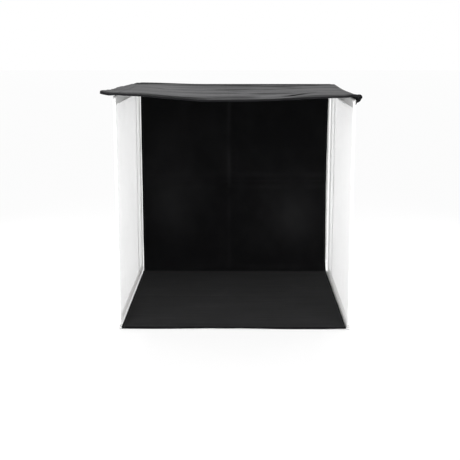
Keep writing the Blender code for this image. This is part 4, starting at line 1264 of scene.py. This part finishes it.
def cover_half(name, side):
    """Half the black cover with its flap, and its front edge rolled into a hem that is open at its end."""
    total = COVER_HALF + FLAP_FLAT + FLAP_REACH
    nose_y = (HEM_BACK + HEM_FRONT) / 2
    half_depth = (HEM_BACK - HEM_FRONT) / 2 - HEM_EASE_DEEP
    main = np.linspace(COVER_BACK, nose_y, HALF_ROWS)
    roll = np.linspace(0, HEM_ROLL, ROLL_STEPS)[1:]
    rows = len(main) + len(roll) - 1

    def place(u, v):
        across = total * (u + min(side, 0))
        index = np.rint(v * rows).astype(int)
        rolled = np.clip(index - len(main) + 1, 0, len(roll))
        angle = np.concatenate([[0], roll])[rolled]
        y = main[np.clip(index, 0, len(main) - 1)]
        puff = HEM_PUFF * ripple(across, 0 * across, *HEM_PUFFS)
        near_side = smooth((np.abs(across) / COVER_HALF - 0.95) * 8)
        half_height = HEM_HALF_HEIGHT + HEM_SIDE_RISE * near_side + puff
        y = y - np.where(rolled > 0, half_depth * np.sin(angle), 0)
        rise = np.where(rolled > 0, -half_height * (1 - np.cos(angle)), 0)
        run = COVER_BACK - y + np.where(rolled > 0, angle * half_depth, 0)
        return cover_point(across, y, rise), np.stack([across, run], 1)

    # Its paleness and gloss carry the cover's painted highlights and painted shade
    piece = lattice(f"cover_{name}_cloth", HALF_COLUMNS, rows, place, BLACK_NYLON, nap=cover_painted_light)
    thicken(piece, COVER_CLOTH).data.set_sharp_from_angle(angle=math.radians(60))
    shares = side * np.linspace(0.002, 0.998, SEAM_POINTS) * total
    above = COVER_CLOTH / 2
    lines = [cover_point(shares, np.full_like(shares, COVER_FRONT + FRONT_SEAM), np.full_like(shares, above))]
    ys = np.linspace(COVER_FRONT + SEAMS_FROM_FRONT, COVER_BACK - SEAMS_FROM_BACK, SEAM_POINTS)
    for reach in FLAP_SEAMS:
        lines.append(cover_point(np.full_like(ys, side * (COVER_HALF + reach)), ys, np.full_like(ys, above)))
    sewn = stitches(f"cover_{name}_stitches", lines, BLACK_THREAD)
    carry("cover", "black_nylon", piece, sewn)
    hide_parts("cover_panel", "cover_front_hem", f"cover_{name}_flap", f"cover_{name}_hem_end")
    return [piece, sewn]


def flap_tape(name, side):
    """The loop tape sewn under a flap of the cover, with its soft pile."""
    start = COVER_HALF + FLAP_FLAT + FLAP_TAPE_INSET

    def place(across, along, lift):
        return cover_point(side * (start + across), COVER_FRONT + FLAP_TAPE_END + along,
                           -FLAP_TAPE_DROP - lift)

    return fastener_tape(f"cover_{name}_loop_tape", "cover", place,
                         (FLAP_TAPE_WIDTH, COVER_BACK - COVER_FRONT - 2 * FLAP_TAPE_END), LOOPS, 40 + side)


def cover_hinge():
    """The nylon strip that joins the cover's rear edge to the outer face of the back wall's top."""
    low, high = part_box("cover_hinge_tape")
    deep = np.linspace(BACK.top - low.z, BACK.half, 9)
    climb = BACK.middle + hem_face(BACK, deep, BACK.top_hem) + TAPE_GAP + HINGE_CLOTH
    edge = COVER_LEVEL + COVER_CLOTH / 2 + HINGE_CLOTH
    profile = np.array([*zip(climb, BACK.top - deep), (low.y + HINGE_CLOTH, BACK.top),
                        (low.y + HINGE_CLOTH, edge - TURN_DROP), (low.y - TURN_IN, edge),
                        (low.y - HINGE_LAP, edge)])
    length = run_along(profile)[-1]

    def rise(x, z):
        """The strip's upper part follows the cover's rear edge."""
        back = -cover_relief(x, np.full_like(x, COVER_BACK))
        return back * np.clip((z - BACK.top) / (edge - BACK.top), 0, 1)

    def place(u, v):
        y, z = at_share(profile, u)
        x = low.x + (high.x - low.x) * v
        return np.stack([x, y, z + rise(x, z)], 1), np.stack([x, length * u], 1)

    # The strip has half the cover's even painted sheen
    strip = lattice("cover_hinge_cloth", 30, 120, place, BLACK_NYLON, nap=lambda x, run: 0 * x + PAINTED_SHEEN / 2)
    thicken(strip, HINGE_CLOTH)
    ways = np.linspace(low.x + STITCH_PITCH, high.x - STITCH_PITCH, SEAM_POINTS)
    seam = STITCH_INSET / length
    lines = []
    for share, out, up in ((seam, HINGE_CLOTH, 0), (1 - seam, 0, HINGE_CLOTH)):
        y, z = at_share(profile, np.full_like(ways, share))
        lines.append(np.column_stack([ways, y + out, z + up + rise(ways, z)]))
    sewn = stitches("cover_hinge_stitches", lines, BLACK_THREAD)
    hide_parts("cover_hinge_tape")
    for part in (strip, sewn):
        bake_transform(part)


cover_hinge()
# Each half of the cover and its tape get meshes of their own
for cover_name, cover_side in (("left", -1), ("right", 1)):
    for cover_part in cover_half(cover_name, cover_side) + flap_tape(cover_name, cover_side):
        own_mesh(cover_part)


# Wires, ferrules and floor board, which show as their solids

hidden_nodes = {"floor_board": GREY_BOARD}
for hidden_wall in ("left", "right", "back"):
    hidden_nodes[f"{hidden_wall}_wire_frame"] = SPRING_STEEL
    hidden_nodes[f"{hidden_wall}_wire_ferrule"] = CRIMPED_ALUMINIUM
for hidden_node, hidden_material in hidden_nodes.items():
    NODES[hidden_node].data.materials.clear()
    NODES[hidden_node].data.materials.append(hidden_material)
